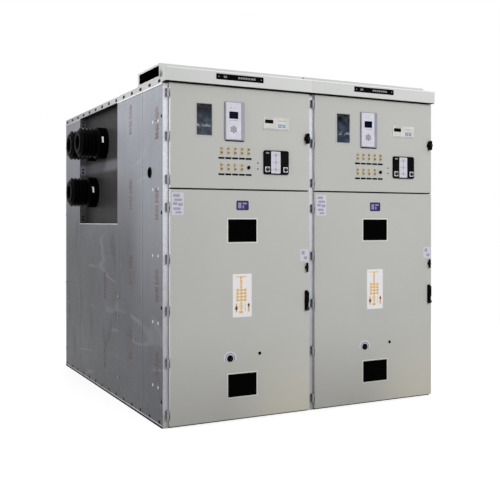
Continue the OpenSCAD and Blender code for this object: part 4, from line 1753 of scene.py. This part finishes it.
@dataclass
class LampField:
    """Two rows of indicator lamps, each a housing with two lenses, above a label plate."""

    first_x: float = 447.0
    pitch: float = 55.5
    lower_rise: float = 165.0
    row_step: float = 119.0
    housing: Pair = (19.0, 58.0)
    housing_proud: float = 6.0
    housing_corner: float = 4.0
    lens_r: float = 7.5
    lens_proud: float = 5.0
    bezel: float = 1.2
    label: Pair = (48.0, 14.0)
    label_t: float = 1.5
    label_drop: float = 54.0
    selector_r: float = 7.5
    selector_proud: float = 18.0
    selector_rose: Pair = (13.0, 3.0)
    selector_bar: Pair = (6.0, 26.0)
    selector_edges: Point = (0.8, 1.5, 1.2)
    screw: PanScrew = PanScrew(6.0, 3.0)
    screw_x: float = 747.0
    screw_rises: Sequence[float] = (158.0, 202.0)
    upper_row: Sequence[tuple[LampColour, LampColour]] = (
        (LampColour.AMBER, LampColour.OLIVE), (LampColour.AMBER, LampColour.BROWN),
        (LampColour.BROWN, LampColour.RED), (LampColour.AMBER, LampColour.OLIVE),
        (LampColour.OLIVE, LampColour.RED),
    )
    lower_row: Sequence[tuple[LampColour, LampColour]] = (
        (LampColour.AMBER, LampColour.OLIVE), (LampColour.AMBER, LampColour.BROWN),
        (LampColour.YELLOW, LampColour.OLIVE), (LampColour.AMBER, LampColour.OLIVE),
    )

    def build(self, board: Board) -> None:
        """Build both bays' lamp fields.

        Args:
            board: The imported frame.
        """
        low = board.split + self.lower_rise
        columns = [self.first_x + n * self.pitch for n in range(len(self.upper_row))]
        form, labels = Form(), Form()
        for bay in board.bays:
            form.at(bay)
            labels.at(bay)
            for z, row in ((low, self.lower_row), (low + self.row_step, self.upper_row)):
                for x, lenses in zip(columns, row):
                    self._lamp(form, x, z, lenses)
                for x in columns:
                    label = around(x, z - self.label_drop, self.label, -self.label_t)
                    labels.plate(*label, BLACK, self.label_t, self.label_t / 3, steps=2)
            self._selector(form, columns[len(self.lower_row)], low)
            for rise in self.screw_rises:
                self.screw.fit(labels, facing_front(self.screw_x, board.split + rise), DARK_STEEL)
        form.piece("indicator_lamp_lenses", Slot.LAMP, "indicator_lamps")
        labels.piece("lamp_label_plates", Slot.PLASTIC)

    def _lamp(self, form: Form, x: float, z: float, lenses: tuple[LampColour, LampColour]) -> None:
        """Add one lamp.

        Args:
            form: The mesh.
            x: Its middle across the bay.
            z: Height of its middle.
            lenses: The colours of its upper and its lower lens.
        """
        front, rise = -self.housing_proud, self.housing[1] / 4
        form.plate(*around(x, z, self.housing, front), LAMP_BASE, self.housing_corner, self.bezel, steps=2)
        r, p, b = self.lens_r, self.lens_proud, self.bezel
        shoulder = [(r, 0.0), (r, 0.4 * p), (0.86 * r, 0.72 * p), (0.55 * r, 0.94 * p)]
        dome = [(0.02 * r, 0.0), *shoulder, (0.02 * r, p)]
        for lens, middle in zip(lenses, (z + rise, z - rise)):
            place = facing_front(x, middle, front)
            form.turned(place, ring(r - b, r + b, 0.0, b), DARK_STEEL, steps=24)
            form.turned(place, dome, lens.value, steps=24)

    def _selector(self, form: Form, x: float, z: float) -> None:
        """Add the selector knob at the end of the lower row.

        Args:
            form: The mesh.
            x: Its middle across the bay.
            z: Height of its middle.
        """
        place, proud = facing_front(x, z), self.selector_proud
        rose_edge, hub_edge, bar_edge = self.selector_edges
        form.rod(place, *self.selector_rose, BLACK, rose_edge)
        form.rod(place, self.selector_r, proud, BLACK, hub_edge)
        form.block(*around(x, z, self.selector_bar, -proud, -proud / 2), BLACK, bar_edge)


@dataclass(frozen=True)
class WingKnob:
    """A lock knob: a round rose, a hub and a bar with two lobes."""

    rose_r: float = 20.0
    rose_proud: float = 10.0
    hub_r: float = 17.0
    bar: float = 22.0
    lobe_r: float = 12.0
    length: float = 80.0
    proud: float = 38.0
    edge: float = 3.0
    cap: Pair = (6.0, 0.8)

    def fit(self, form: Form, x: float, z: float) -> None:
        """Add the knob to a mesh.

        Args:
            form: The mesh.
            x: Its middle across the bay.
            z: Its height.
        """
        reach = self.length / 2 - self.lobe_r
        form.rod(facing_front(x, z), self.rose_r, self.rose_proud, BLACK, self.edge / 2)
        foot = self.edge / 2 - self.rose_proud
        depth = self.proud + foot
        form.rod(facing_front(x, z, foot), self.hub_r, depth, BLACK, self.edge)
        low = (x - self.bar / 2, -self.proud, z - reach)
        form.block(low, (x + self.bar / 2, foot, z + reach), BLACK, self.edge, steps=3)
        for side in (-reach, reach):
            form.rod(facing_front(x, z + side, foot), self.lobe_r, depth, BLACK, self.edge, sides=24)
        cap_r, cap_h = self.cap
        form.rod(facing_front(x, z, -self.proud), cap_r, cap_h, DARK_STEEL, cap_h / 3, sides=20)


@dataclass
class DoorFurniture:
    """What the doors carry at the latch side and in their lower half: locks, handle base and sockets."""

    knob: WingKnob = WingKnob()
    lock: WingKnob = WingKnob(
        rose_r=12.0, hub_r=9.5, bar=11.0, lobe_r=6.5, length=72.0, proud=26.0, edge=2.0, cap=(5.0, 0.8),
    )
    upper_latch_rise: float = 403.0
    lock_z: float = 1113.0
    handle_z: float = 796.0
    plate: Pair = (30.0, 155.0)
    plate_t: float = 8.0
    plate_corner: float = 11.0
    plate_edge: float = 2.0
    socket: Pair = (517.0, 461.0)
    socket_r: float = 24.0
    crank_r: float = 13.0
    shutter_y: float = 4.0
    crown: Pair = (26.0, 52.0)
    crown_turn: float = 3.9
    crown_line: Pair = (34.0, 38.0)
    film: float = 0.6
    boss: Pair = (762.0, 482.0)
    boss_r: float = 12.0

    def build(self, board: Board) -> None:
        """Build the upper latches and each lower door's furniture.

        Args:
            board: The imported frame.
        """
        latch_x = board.span("upper_latches").middle.x
        form = Form()
        for bay in board.bays:
            self.knob.fit(form.at(bay), latch_x, board.split + self.upper_latch_rise)
        form.piece("upper_latch_knobs", Slot.PLASTIC, "upper_latches")
        for bay in board.bays:
            name, form = bay.node("door_furniture"), Form().at(bay)
            self.lock.fit(form, latch_x, self.lock_z)
            self._handle_base(form, latch_x)
            self._socket(form)
            self._boss(form)
            form.piece(f"{name}_black", Slot.PLASTIC, name, body=bay.node("door"))

    def _handle_base(self, form: Form, x: float) -> None:
        """Add the base plate that the handle turns on.

        Args:
            form: The mesh.
            x: Its middle across the bay.
        """
        wide, tall = self.plate
        plate = around(x, self.handle_z + (tall - wide) / 2, self.plate, -self.plate_t)
        form.plate(*plate, BLACK, self.plate_corner, self.plate_edge)

    def _socket(self, form: Form) -> None:
        """Add the crank socket, its shutter and the printed crown above it.

        Args:
            form: The mesh.
        """
        x, z = self.socket
        place, film = facing_front(x, z), self.film
        t, inner, outer, e = self.plate_t, self.crank_r, self.socket_r, self.plate_edge
        outside = [(inner, 0.0), (outer, 0.0), (outer, 0.6 * t), (outer - e, t)]
        form.turned(place, [*outside, (inner + e, t), (inner, 0.7 * t)], BLACK, steps=36)
        form.rod(facing_front(x, z, self.shutter_y), inner + e, film, RUBBER, 0.0, sides=24)
        start = (math.pi - self.crown_turn) / 2
        bands = ((self.crown, film, WHITE_PRINT), (self.crown_line, 2 * film, DARK_STEEL))
        for radii, height, finish in bands:
            form.turned(place, ring(*radii, 0.0, height), finish, steps=24, turn=self.crown_turn, start=start)

    def _boss(self, form: Form) -> None:
        """Add the interlock boss with its hexagon recess.

        Args:
            form: The mesh.
        """
        x, z = self.boss
        rise = self.plate_t / 2
        form.rod(facing_front(x, z), self.boss_r, rise, BLACK, self.plate_edge / 2, sides=24)
        form.rod(facing_front(x, z, -rise), self.boss_r / 2, self.film, RUBBER, self.film / 3, sides=6)


@dataclass
class LeverHandle:
    """A lever handle: a shaft, a hub with a key barrel and a grip above it."""

    grip_width: float = 23.0
    hub_r: float = 15.0
    grip_t: float = 13.0
    shaft_r: float = 8.0
    neck: float = 24.0
    waist: float = 3.0
    corner: float = 10.0
    edge: float = 3.0
    barrel: Pair = (8.0, 1.4)
    slot: Pair = (1.8, 10.0)

    def build(self, board: Board) -> None:
        """Build both doors' handles.

        Args:
            board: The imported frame.
        """
        span = board.span("left_handle")
        for bay in board.bays:
            name, form = bay.node("handle"), Form().at(bay)
            self._lever(form, span)
            form.piece(f"{name}_lever", Slot.PLASTIC, name, body=name)

    def _lever(self, form: Form, span: Span) -> None:
        """Add one handle.

        Args:
            form: The mesh.
            span: Where the handle is.
        """
        x, hub_z, front = span.middle.x, span.low.z + self.hub_r, span.low.y
        back, half, e = front + self.grip_t, self.grip_width / 2, self.edge
        form.rod(facing_front(x, hub_z, span.high.y), self.shaft_r, span.high.y - back + e, DARK_STEEL)
        form.rod(facing_front(x, hub_z, back), self.hub_r, self.grip_t, BLACK, 0.6 * e)
        grip_foot = hub_z + self.hub_r + self.neck
        w = half - self.waist
        form.plate((x - w, front + e, hub_z), (x + w, back, grip_foot + 2 * e), BLACK, e / 2, e / 2)
        form.plate((x - half, front, grip_foot), (x + half, back, span.high.z), BLACK, self.corner, e)
        r, proud = self.barrel
        form.rod(facing_front(x, hub_z, front), r, proud, DARK_STEEL, proud / 3, sides=24)
        w, h = self.slot[0] / 2, self.slot[1] / 2
        form.block((x - w, front - 1.3 * proud, hub_z - h), (x + w, front - 0.7 * proud, hub_z + h), RUBBER)


@dataclass(frozen=True)
class Wall:
    """A wall across X: where its face is in the bay, and which way along X it faces."""

    x: float
    out: float

    def place(self, y: float, z: float) -> Matrix:
        """Return a place on the wall, whose own Z points out of it."""
        return Matrix.Translation((self.x, y, z)) @ Matrix.Rotation(self.out * math.pi / 2, 4, "Y")

    def strip(self, form: Form, area: Area, proud: float, finish: Finish, edge: float) -> None:
        """Add a flat strip to a mesh, by its low Y, low Z, high Y and high Z."""
        near, far = sorted((self.x, self.x + self.out * proud))
        form.block((near, area[0], area[1]), (far, area[2], area[3]), finish, edge)


@dataclass
class BusbarPocket:
    """The three cast bushings of the busbar pocket, each with a blank label on its foot."""

    names: Sequence[str] = ("upper_front_bushing", "upper_rear_bushing", "lower_bushing")
    bore_r: float = 60.0
    body_r: float = 119.0
    shed_r: float = 131.0
    tip_r: float = 104.0
    foot_l: float = 84.0
    slope: float = 12.0
    sheds: int = 4
    shed_pitch: float = 32.0
    shed_root: float = 22.0
    shed_edge: float = 6.0
    tip_l: float = 26.0
    soft: float = 6.0
    label: Pair = (48.0, 64.0)
    label_t: float = 0.6
    label_turn: float = 0.38
    label_start: float = -1.61

    def _shed(self, middle: float) -> Iterator[Pair]:
        """Draw one shed with a rounded edge.

        Args:
            middle: Height of its middle.

        Yields:
            Radius and height of each point.
        """
        root, edge, depth = self.shed_root / 2, self.shed_edge / 2, self.shed_r - self.body_r
        for radius, height in (
            (0.0, -root), (0.15, -0.8 * root), (0.75, -1.5 * edge), (0.95, -edge), (1.0, 0.0),
            (0.95, edge), (0.75, 1.4 * edge), (0.2, 0.7 * root), (0.0, root),
        ):
            yield (self.body_r + radius * depth, middle + height)

    def _profile(self, foot_r: float, length: float) -> list[Pair]:
        """Draw the outline of a bushing from its foot to its rounded tip.

        Args:
            foot_r: Radius of the foot.
            length: Length from the foot to the tip.

        Returns:
            Radius and height of each point.
        """
        s, tip, bore = self.soft, self.tip_r, self.bore_r
        points = [
            (bore, 0.0), (foot_r, 0.0), (foot_r, self.foot_l - s), (foot_r - 0.3 * s, self.foot_l - 0.3 * s),
            (foot_r - s, self.foot_l), (self.body_r, self.foot_l + self.slope),
        ]
        for n in range(self.sheds):
            points += self._shed(length - self.tip_l - (self.sheds - 1 - n) * self.shed_pitch)
        return points + [
            (tip, length - 1.5 * s), (tip - 0.4 * s, length - 0.4 * s), (tip - 1.5 * s, length),
            (bore + s, length), (bore + 0.3 * s, length - 0.3 * s), (bore, length - s),
        ]

    def build(self, board: Board) -> None:
        """Build the bushings.

        Args:
            board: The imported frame.
        """
        for name in self.names:
            span = board.span(name)
            form = Form().at(board.left)
            place = Wall(span.high.x, LEFTWARDS).place(span.middle.y, span.middle.z)
            foot_r = span.size.y / 2
            form.turned(place, self._profile(foot_r, span.size.x), RESIN, steps=72)
            label = ring(foot_r, foot_r + self.label_t, *self.label)
            turn = {"turn": self.label_turn, "start": self.label_start}
            form.turned(place, label, CARD_WHITE, steps=6, **turn)
            form.piece(f"{name}_casting", Slot.EPOXY, name)


@dataclass
class SideFixings:
    """What the side walls carry: bolts, dimples, folded edges in painted highlight, a dark foot, painted
    shade in holes and faded print.
    """

    bolt: HexBolt = HexBolt()
    stud: PanScrew = PanScrew(13.0, 2.4)
    dimple: PanScrew = PanScrew(12.0, 3.0)
    post_bolts: Sequence[float] = (186.0, 852.0, 1529.0, 2214.0)
    post_bolt_in: float = 16.0
    seam_bolts: int = 2
    seam_bolt_in: float = 30.0
    foot: Pair = (2.0, 15.0)
    foot_line: float = 7.0
    foot_studs: int = 14
    foot_stud_z: float = 36.0
    foot_stud_end: float = 60.0
    dimple_rows: Sequence[float] = (113.0, 224.0)
    dimple_heights: Sequence[float] = (276.0, 736.0, 1217.0, 1698.0, 2187.0)
    grommet: Pair = (31.0, 41.0)
    grommet_t: float = 5.0
    hole_y: float = 288.0
    hole_rise: float = 126.0
    drip: Pair = (4.0, 10.0)
    fold: Pair = (1.2, 7.0)
    edge: float = 0.4
    web: float = 3.0
    rail_holes: int = 14
    rail_hole_end: float = 60.0
    cap: Pair = (46.0, 22.0)
    painted_shade_cap_t: float = 0.8
    painted_shade_backing: float = 1.0
    punch_groups: Sequence[float] = (-450.0, 0.0, 450.0)
    punch_reach: float = 32.0
    print_mark: Pair = (78.0, 13.0)
    print_pitch: float = 15.5
    print_shares: Sequence[float] = (
        1.0, 0.6, 0.9, 0.4, 1.0, 0.7, 0.9, 0.0, 1.0, 0.5, 0.8, 1.0, 0.6, 0.9, 0.7,
    )
    print_t: float = 0.3
    print_columns: Sequence[tuple[float, Sequence[float]]] = (
        (140.0, (301.0, 890.0, 1476.0, 2061.0)),
        (730.0, (387.0, 971.0, 1562.0, 2150.0)),
        (1420.0, (212.0, 800.0)),
    )

    def build(self, board: Board) -> None:
        """Build the fixings of both outer sides.

        Args:
            board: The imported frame.
        """
        form, wall = Form().at(board.left), Wall(0.0, LEFTWARDS)
        self._fixings(form, wall, board)
        self._pocket(form, wall, board)
        inner, outer, t = *self.grommet, self.grommet_t
        outside = [(inner, 0.0), (outer, 0.0), (outer, 0.6 * t), (outer - 0.6 * t, t)]
        grommet = [*outside, (inner + 0.2 * t, t), (inner, 0.6 * t)]
        form.turned(wall.place(self.hole_y, board.split + self.hole_rise), grommet, RUBBER, steps=32)
        self._print(form, wall)
        form.piece("left_side_fixings", Slot.ZINC)
        form, wall = Form().at(board.right), Wall(board.bay_width, RIGHTWARDS)
        self._fixings(form, wall, board)
        form.piece("right_side_fixings", Slot.ZINC)

    def _fixings(self, form: Form, wall: Wall, board: Board) -> None:
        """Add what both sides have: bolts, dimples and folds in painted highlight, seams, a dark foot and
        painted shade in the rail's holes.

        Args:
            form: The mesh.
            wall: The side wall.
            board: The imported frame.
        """
        sheet, middle = board.span("left_front_side_sheet"), board.span("left_middle_side_sheet")
        rear, rail = board.span("left_rear_side_sheet"), board.span("top_side_rails")
        front, back = sheet.low.y, rear.high.y
        for z in self.post_bolts:
            self.stud.fit(form, wall.place(front + self.post_bolt_in, z), RUBBER)
            self.bolt.fit(form, wall.place(back - self.post_bolt_in, z))
        for y in spread(front, back, self.foot_studs, self.foot_stud_end):
            self.stud.fit(form, wall.place(y, self.foot_stud_z), RUBBER)
        # Painted highlight: the dimples are pale zinc
        for y in self.dimple_rows:
            for z in self.dimple_heights:
                self.dimple.fit(form, wall.place(y, z), HIGHLIGHT_STEEL)
        proud, foot_top = self.foot
        line_top = foot_top + self.foot_line
        wall.strip(form, (front, 0.0, back, foot_top), proud, RUBBER, self.edge)
        # Painted highlight: the line over the foot and the drips at the head are pale zinc
        wall.strip(form, (front, foot_top, back, line_top), proud, HIGHLIGHT_STEEL, self.edge)
        proud, wide = self.fold
        drip_proud, drip_h = self.drip
        seam_top = sheet.high.z - drip_h
        for y in (middle.low.y, middle.high.y - wide, rear.low.y):
            wall.strip(form, (y, line_top, y + wide, seam_top), proud, SEAM_STEEL, self.edge)
        for start, end in ((front, middle.high.y), (rear.low.y, back)):
            wall.strip(form, (start, seam_top, end, sheet.high.z), drip_proud, HIGHLIGHT_STEEL, 2 * self.edge)
        # Painted shade: black caps over the rail's holes
        long, tall = self.cap[0] / 2, self.cap[1] / 2
        for y in spread(rail.low.y, rail.high.y, self.rail_holes, self.rail_hole_end):
            area = (y - long, rail.middle.z - tall, y + long, rail.middle.z + tall)
            wall.strip(form, area, self.painted_shade_cap_t, RUBBER, self.painted_shade_cap_t / 2)

    def _pocket(self, form: Form, wall: Wall, board: Board) -> None:
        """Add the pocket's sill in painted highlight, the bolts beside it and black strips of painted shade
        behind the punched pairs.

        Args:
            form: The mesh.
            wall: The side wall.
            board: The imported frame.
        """
        pocket, posts = board.span("left_lower_side_sheet"), board.span("pocket_posts")
        for z in self.post_bolts[:self.seam_bolts]:
            self.bolt.fit(form, wall.place(pocket.low.y - self.seam_bolt_in, z))
        proud, wide = self.fold
        sill = pocket.high.z
        wall.strip(form, (pocket.low.y, sill - wide, pocket.high.y, sill), proud, HIGHLIGHT_STEEL, self.edge)
        middle = (sill + board.span("top_side_rails").low.z) / 2
        y = board.span("left_rear_side_sheet").low.y + self.web
        left, right = posts.low.x + 2 * self.web, posts.high.x - 2 * self.web
        # Painted shade: black strips behind the punched pairs
        for rise in self.punch_groups:
            foot, head = middle + rise - self.punch_reach, middle + rise + self.punch_reach
            form.block((left, y, foot), (right, y + self.painted_shade_backing, head), RUBBER)

    def _print(self, form: Form, wall: Wall) -> None:
        """Add the columns of plain faded marks that run up the film on the sheets.

        Args:
            form: The mesh.
            wall: The side wall.
        """
        wide, tall = self.print_mark
        for y, heights in self.print_columns:
            for foot in heights:
                for n, share in enumerate(self.print_shares):
                    z, half = foot + n * self.print_pitch, share * wide / 2
                    if share:
                        wall.strip(form, (y - half, z, y + half, z + tall), self.print_t, FILM_PINK, 0.0)


COVER_BOLT = HexBolt(6.0, 4.0, 9.0, 1.4)


@dataclass
class RoofFixings(SharedPiece):
    """The bolts and the hinge line of each relief flap on the roof."""

    piece = "relief_flap_fixings"
    slot = Slot.ZINC
    screw: HexBolt = COVER_BOLT
    inset: float = 35.0
    bolts: int = 4
    hinge_r: float = 5.0
    hinge_edge: float = 1.0

    def fill(self, form: Form, board: Board) -> None:
        """Add the fixings of a bay's flaps.

        Args:
            form: The mesh.
            board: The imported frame.
        """
        flaps = board.span("relief_flaps")
        along = Matrix.Rotation(math.pi / 2, 4, "Y")
        for low, high in self._rows(board):
            for x in spread(flaps.low.x, flaps.high.x, self.bolts, self.inset):
                self.screw.fit(form, facing_up(x, low + self.inset, flaps.high.z))
            place = facing_up(flaps.low.x, high - 2 * self.hinge_r, flaps.high.z) @ along
            form.rod(place, self.hinge_r, flaps.size.x, DULL_ZINC, self.hinge_edge, sides=16)

    @staticmethod
    def _rows(board: Board) -> list[Pair]:
        """Find the rows of relief flaps.

        Args:
            board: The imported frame.

        Returns:
            Where each row starts and ends along the depth.
        """
        solid = board.nodes["relief_flaps"].data
        ends = sorted({round(v.co.y / MM - board.left.origin.y, 1) for v in solid.vertices})
        return list(zip(ends[::2], ends[1::2]))


@dataclass
class RearFixings(SharedPiece):
    """The bolts along both sides of each rear cover."""

    piece = "rear_cover_fixings"
    slot = Slot.ZINC
    screw: HexBolt = COVER_BOLT
    inset: float = 22.0
    end: float = 60.0
    bolts: int = 5

    def fill(self, form: Form, board: Board) -> None:
        """Add the bolts of a bay's two covers.

        Args:
            form: The mesh.
            board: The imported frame.
        """
        covers = board.span("rear_covers")
        middle = covers.middle.z
        for low, high in ((covers.low.z, middle), (middle + self.end, covers.high.z)):
            for x in (covers.low.x + self.inset, covers.high.x - self.inset):
                for z in spread(low, high, self.bolts, self.end):
                    self.screw.fit(form, facing_rear(x, z, covers.high.y))


@dataclass
class Nameplates(SharedPiece):
    """The nameplate on each fascia, with two screws and a row of plain bars."""

    piece = "fascia_nameplates"
    slot = Slot.PLASTIC
    middle: Pair = (579.0, 2514.0)
    size: Pair = (386.0, 42.0)
    proud: float = 2.0
    corner: float = 3.0
    edge: float = 0.8
    screw: PanScrew = PanScrew(4.0, 2.0)
    screw_out: float = 173.0
    film: float = 0.4
    bar: float = 14.0
    bars: Sequence[Pair] = (
        (446.0, 456.0), (460.0, 470.0), (562.0, 576.0), (580.0, 598.0), (602.0, 616.0), (620.0, 638.0),
        (644.0, 658.0), (664.0, 682.0), (686.0, 704.0),
    )

    def fill(self, form: Form, board: Board) -> None:
        """Add a bay's nameplate.

        Args:
            form: The mesh.
            board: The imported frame.
        """
        x, z = self.middle
        face = board.span("left_fascia").low.y
        front = face - self.proud
        form.plate(*around(x, z, self.size, front, face), PLATE_BLACK, self.corner, self.edge)
        for side in (-self.screw_out, self.screw_out):
            self.screw.fit(form, facing_front(x + side, z, front), LILAC_PRINT)
        for start, end in self.bars:
            low, high = (start, front - self.film, z - self.bar / 2), (end, front, z + self.bar / 2)
            form.block(low, high, GREY_PRINT)


@dataclass
class DoorLabels:
    """What is stuck on a lower door: plain stickers, a plain badge and a one-line diagram card.

    Marks on a film are shares of its width and height.
    """

    film: float = 0.6
    corner: float = 0.8
    sticker: Area = (60.0, 1512.0, 151.0, 1672.0)
    patches: Sequence[Area] = (
        (0.12, 0.80, 0.66, 0.93), (0.20, 0.62, 0.84, 0.73), (0.10, 0.44, 0.46, 0.57),
        (0.54, 0.40, 0.90, 0.54), (0.14, 0.22, 0.72, 0.34), (0.30, 0.07, 0.80, 0.16),
    )
    badge: Area = (568.0, 1549.0, 670.0, 1620.0)
    badge_corner: float = 9.0
    badge_marks: Sequence[Area] = (
        (0.14, 0.20, 0.40, 0.80), (0.50, 0.62, 0.84, 0.80), (0.50, 0.20, 0.62, 0.52),
    )
    tag: Area = (1114.0, 1160.0, 1190.0, 1252.0)
    tag_marks: Sequence[Area] = ((0.16, 0.56, 0.52, 0.86), (0.42, 0.16, 0.82, 0.40))
    card: Area = (539.0, 760.0, 695.0, 1079.0)
    busbar: Area = (0.16, 0.925, 0.73, 0.945)
    chain: Pair = (0.385, 0.49)
    links: Sequence[Pair] = ((0.87, 0.925), (0.79, 0.86), (0.735, 0.78), (0.67, 0.72))
    switch_columns: Sequence[float] = (0.24, 0.45, 0.66)
    tie_columns: Sequence[float] = (0.345, 0.555)
    switch_rows: Sequence[float] = (0.394, 0.471, 0.548, 0.625)
    switch: Pair = (0.11, 0.064)
    tie: Pair = (0.1, 0.028)
    branch: Sequence[Area] = ((0.40, 0.155, 0.475, 0.35), (0.33, 0.09, 0.53, 0.145))
    card_tan: Sequence[Area] = (
        (0.15, 0.11, 0.22, 0.32), (0.10, 0.17, 0.27, 0.25),
        (0.80, 0.12, 0.875, 0.32), (0.78, 0.24, 0.90, 0.30),
    )
    card_cream: Sequence[Area] = (
        (0.635, 0.13, 0.685, 0.32), (0.30, 0.20, 0.345, 0.33), (0.50, 0.20, 0.545, 0.33),
    )

    def build(self, board: Board) -> None:
        """Build both doors' labels.

        Args:
            board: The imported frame.
        """
        for bay in board.bays:
            form = Form().at(bay)
            self._film(form, self.sticker, WHITE_PRINT)
            self._marks(form, self.sticker, self.patches, LILAC_PRINT)
            self._film(form, self.badge, BADGE_BLUE, corner=self.badge_corner)
            self._marks(form, self.badge, self.badge_marks, BADGE_PALE)
            self._film(form, self.tag, WHITE_PRINT)
            self._marks(form, self.tag, self.tag_marks, LILAC_PRINT)
            self._film(form, self.card, CARD_WHITE)
            self._marks(form, self.card, list(self._diagram()), CARD_GOLD)
            self._marks(form, self.card, self.card_tan, CARD_TAN)
            self._marks(form, self.card, self.card_cream, CARD_CREAM)
            form.piece(bay.node("door_labels"), Slot.HOUSING, body=bay.node("door"))

    def _film(self, form: Form, area: Area, finish: Finish, lift: float = 0.0, corner: float = 0.0) -> None:
        """Add a thin film on the door face, or on another film.

        Args:
            form: The mesh.
            area: Low X, low Z, high X and high Z.
            finish: Its finish.
            lift: Thickness of what it lies on.
            corner: Radius of its corners, if not the usual one.
        """
        low_x, low_z, high_x, high_z = area
        low, high = (low_x, -self.film - lift, low_z), (high_x, -lift, high_z)
        form.plate(low, high, finish, corner or self.corner, self.film / 4, steps=1)

    def _marks(self, form: Form, area: Area, shares: Sequence[Area], finish: Finish) -> None:
        """Add plain printed patches to a film.

        Args:
            form: The mesh.
            area: Where the film is.
            shares: Where each patch is, in shares of the film.
            finish: Their finish.
        """
        low_x, low_z, high_x, high_z = area
        w, h = high_x - low_x, high_z - low_z
        for left, foot, right, head in shares:
            spot = (low_x + left * w, low_z + foot * h, low_x + right * w, low_z + head * h)
            self._film(form, spot, finish, self.film)

    def _diagram(self) -> Iterator[Area]:
        """Lay out the card's gold lines: a busbar, a chain, a lattice of switches and a branch.

        Yields:
            Where each line is, in shares of the card.
        """
        yield self.busbar
        left, right = self.chain
        for foot, head in self.links:
            yield (left, foot, right, head)
        for columns, (w, h) in ((self.switch_columns, self.switch), (self.tie_columns, self.tie)):
            for x in columns:
                for z in self.switch_rows:
                    yield (x - w / 2, z - h / 2, x + w / 2, z + h / 2)
        yield from self.branch


@dataclass(frozen=True)
class SoftBox:
    """A studio lamp: where it hangs, the point it faces, its size in metres and its power in watts."""

    name: str
    at: Point
    target: Point
    size: Pair
    power: float

    def hang(self) -> None:
        """Add the lamp to the scene."""
        data = bpy.data.lights.new(self.name, "AREA")
        data.shape = "RECTANGLE"
        data.size, data.size_y = self.size
        data.energy = self.power
        lamp = bpy.data.objects.new(self.name, data)
        lamp.location = self.at
        lamp.visible_camera = False
        lamp.rotation_euler = (Vector(self.target) - Vector(self.at)).to_track_quat("-Z", "Y").to_euler()
        bpy.context.scene.collection.objects.link(lamp)


@dataclass
class Studio:
    """Camera, lamps, pale floor and white surroundings."""

    camera_at: Point = (-3.1667, -6.5621, 1.4658)
    heading: float = 27.152
    lens: float = 56.23
    sensor: float = 36.0
    shift_up: float = -0.057
    ambient: float = 0.26
    floor_half: float = 30.0
    floor_tone: Colour = (0.34, 0.34, 0.34, 1.0)
    floor_glow: float = 0.8
    floor_fade: Pair = (3.0, 6.5)
    lamps: Sequence[SoftBox] = (
        SoftBox("key lamp", (1.0, -7.0, 3.4), (0.3, -1.4, 1.4), (4.0, 3.0), 214.0),
        SoftBox("side lamp", (-2.4, -0.75, 3.4), (-1.2, -0.8, 2.0), (0.9, 1.2), 30.0),
        SoftBox("left lamp", (-5.5, -2.0, 2.2), (-1.2, -0.5, 1.2), (3.0, 3.0), 70.0),
        SoftBox("top lamp", (0.0, 0.5, 6.0), (0.0, 0.2, 2.5), (3.0, 3.0), 44.0),
        SoftBox("right lamp", (5.2, 0.4, 4.0), (1.2, 0.0, 1.4), (3.0, 3.0), 130.0),
        SoftBox("rear lamp", (0.5, 7.0, 4.0), (0.0, 1.4, 1.4), (3.0, 3.0), 260.0),
    )

    def build(self) -> None:
        """Set up the studio."""
        self._camera()
        for lamp in self.lamps:
            lamp.hang()
        self._floor()
        self._world()
        bpy.context.scene.view_settings.view_transform = "Standard"

    def _camera(self) -> None:
        """Add the camera at the photograph's viewing angle."""
        data = bpy.data.cameras.new("camera")
        data.sensor_width = self.sensor
        data.lens = self.lens
        data.shift_y = self.shift_up
        camera = bpy.data.objects.new("camera", data)
        camera.location = self.camera_at
        camera.rotation_euler = (math.pi / 2, 0.0, -math.radians(self.heading))
        bpy.context.scene.collection.objects.link(camera)
        bpy.context.scene.camera = camera

    def _floor(self) -> None:
        """Add the pale floor, which shows white to the camera but keeps the board's shadow."""
        mesh = bpy.data.meshes.new("floor")
        grid = bmesh.new()
        bmesh.ops.create_grid(grid, x_segments=1, y_segments=1, size=self.floor_half)
        bmesh.ops.translate(grid, vec=(0.0, 0.0, -MM), verts=grid.verts)
        grid.to_mesh(mesh)
        grid.free()
        material = bpy.data.materials.new("pale floor")
        material.use_nodes = True
        graph = Graph(material.node_tree)
        matt = graph.node("ShaderNodeBsdfDiffuse", inputs={"Color": self.floor_tone})
        glow = graph.node("ShaderNodeEmission", inputs={"Color": WHITE, "Strength": self.floor_glow})
        near = graph.node("ShaderNodeAddShader", inputs={0: matt, 1: glow})
        far = graph.node("ShaderNodeEmission", inputs={"Color": WHITE, "Strength": 1.0})
        spot = graph.node("ShaderNodeVectorMath", {"operation": "LENGTH"}, {0: graph.place()}, "Value")
        fade = spot.between(*self.floor_fade)
        shown = graph.node("ShaderNodeMixShader", inputs={0: fade, 1: near, 2: far})
        mixed = graph.node("ShaderNodeMixShader", inputs={0: graph.seen(), 1: matt, 2: shown})
        graph.node("ShaderNodeOutputMaterial", inputs={"Surface": mixed})
        mesh.materials.append(material)
        floor = bpy.data.objects.new("floor", mesh)
        bpy.context.scene.collection.objects.link(floor)

    def _world(self) -> None:
        """Surround the board with white, and light it by a lesser even glow."""
        world = bpy.data.worlds.new("studio")
        world.use_nodes = True
        graph = Graph(world.node_tree)
        strength = self.ambient + (1.0 - self.ambient) * graph.seen()
        sky = graph.node("ShaderNodeBackground", inputs={"Color": WHITE, "Strength": strength})
        graph.node("ShaderNodeOutputWorld", inputs={"Surface": sky})
        bpy.context.scene.world = world


def main() -> None:
    """Load the frame, build each sub-assembly and set up the studio."""
    logging.basicConfig(level=logging.INFO, format="%(name)s: %(message)s")
    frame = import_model()
    board = Board(frame)
    assemblies = (
        SheetMetal(), PaintedPans(), DuctRims(), FasciaHighlights(), ShadeStrips(), Hinges(), Windows(), Relay(),
        HumidityController(), StatusUnit(), LampField(), DoorFurniture(), LeverHandle(), BusbarPocket(),
        SideFixings(), RoofFixings(), RearFixings(), Nameplates(), DoorLabels(),
    )
    for assembly in assemblies:
        assembly.build(board)
    Studio().build()


if __name__ == "__main__":
    main()
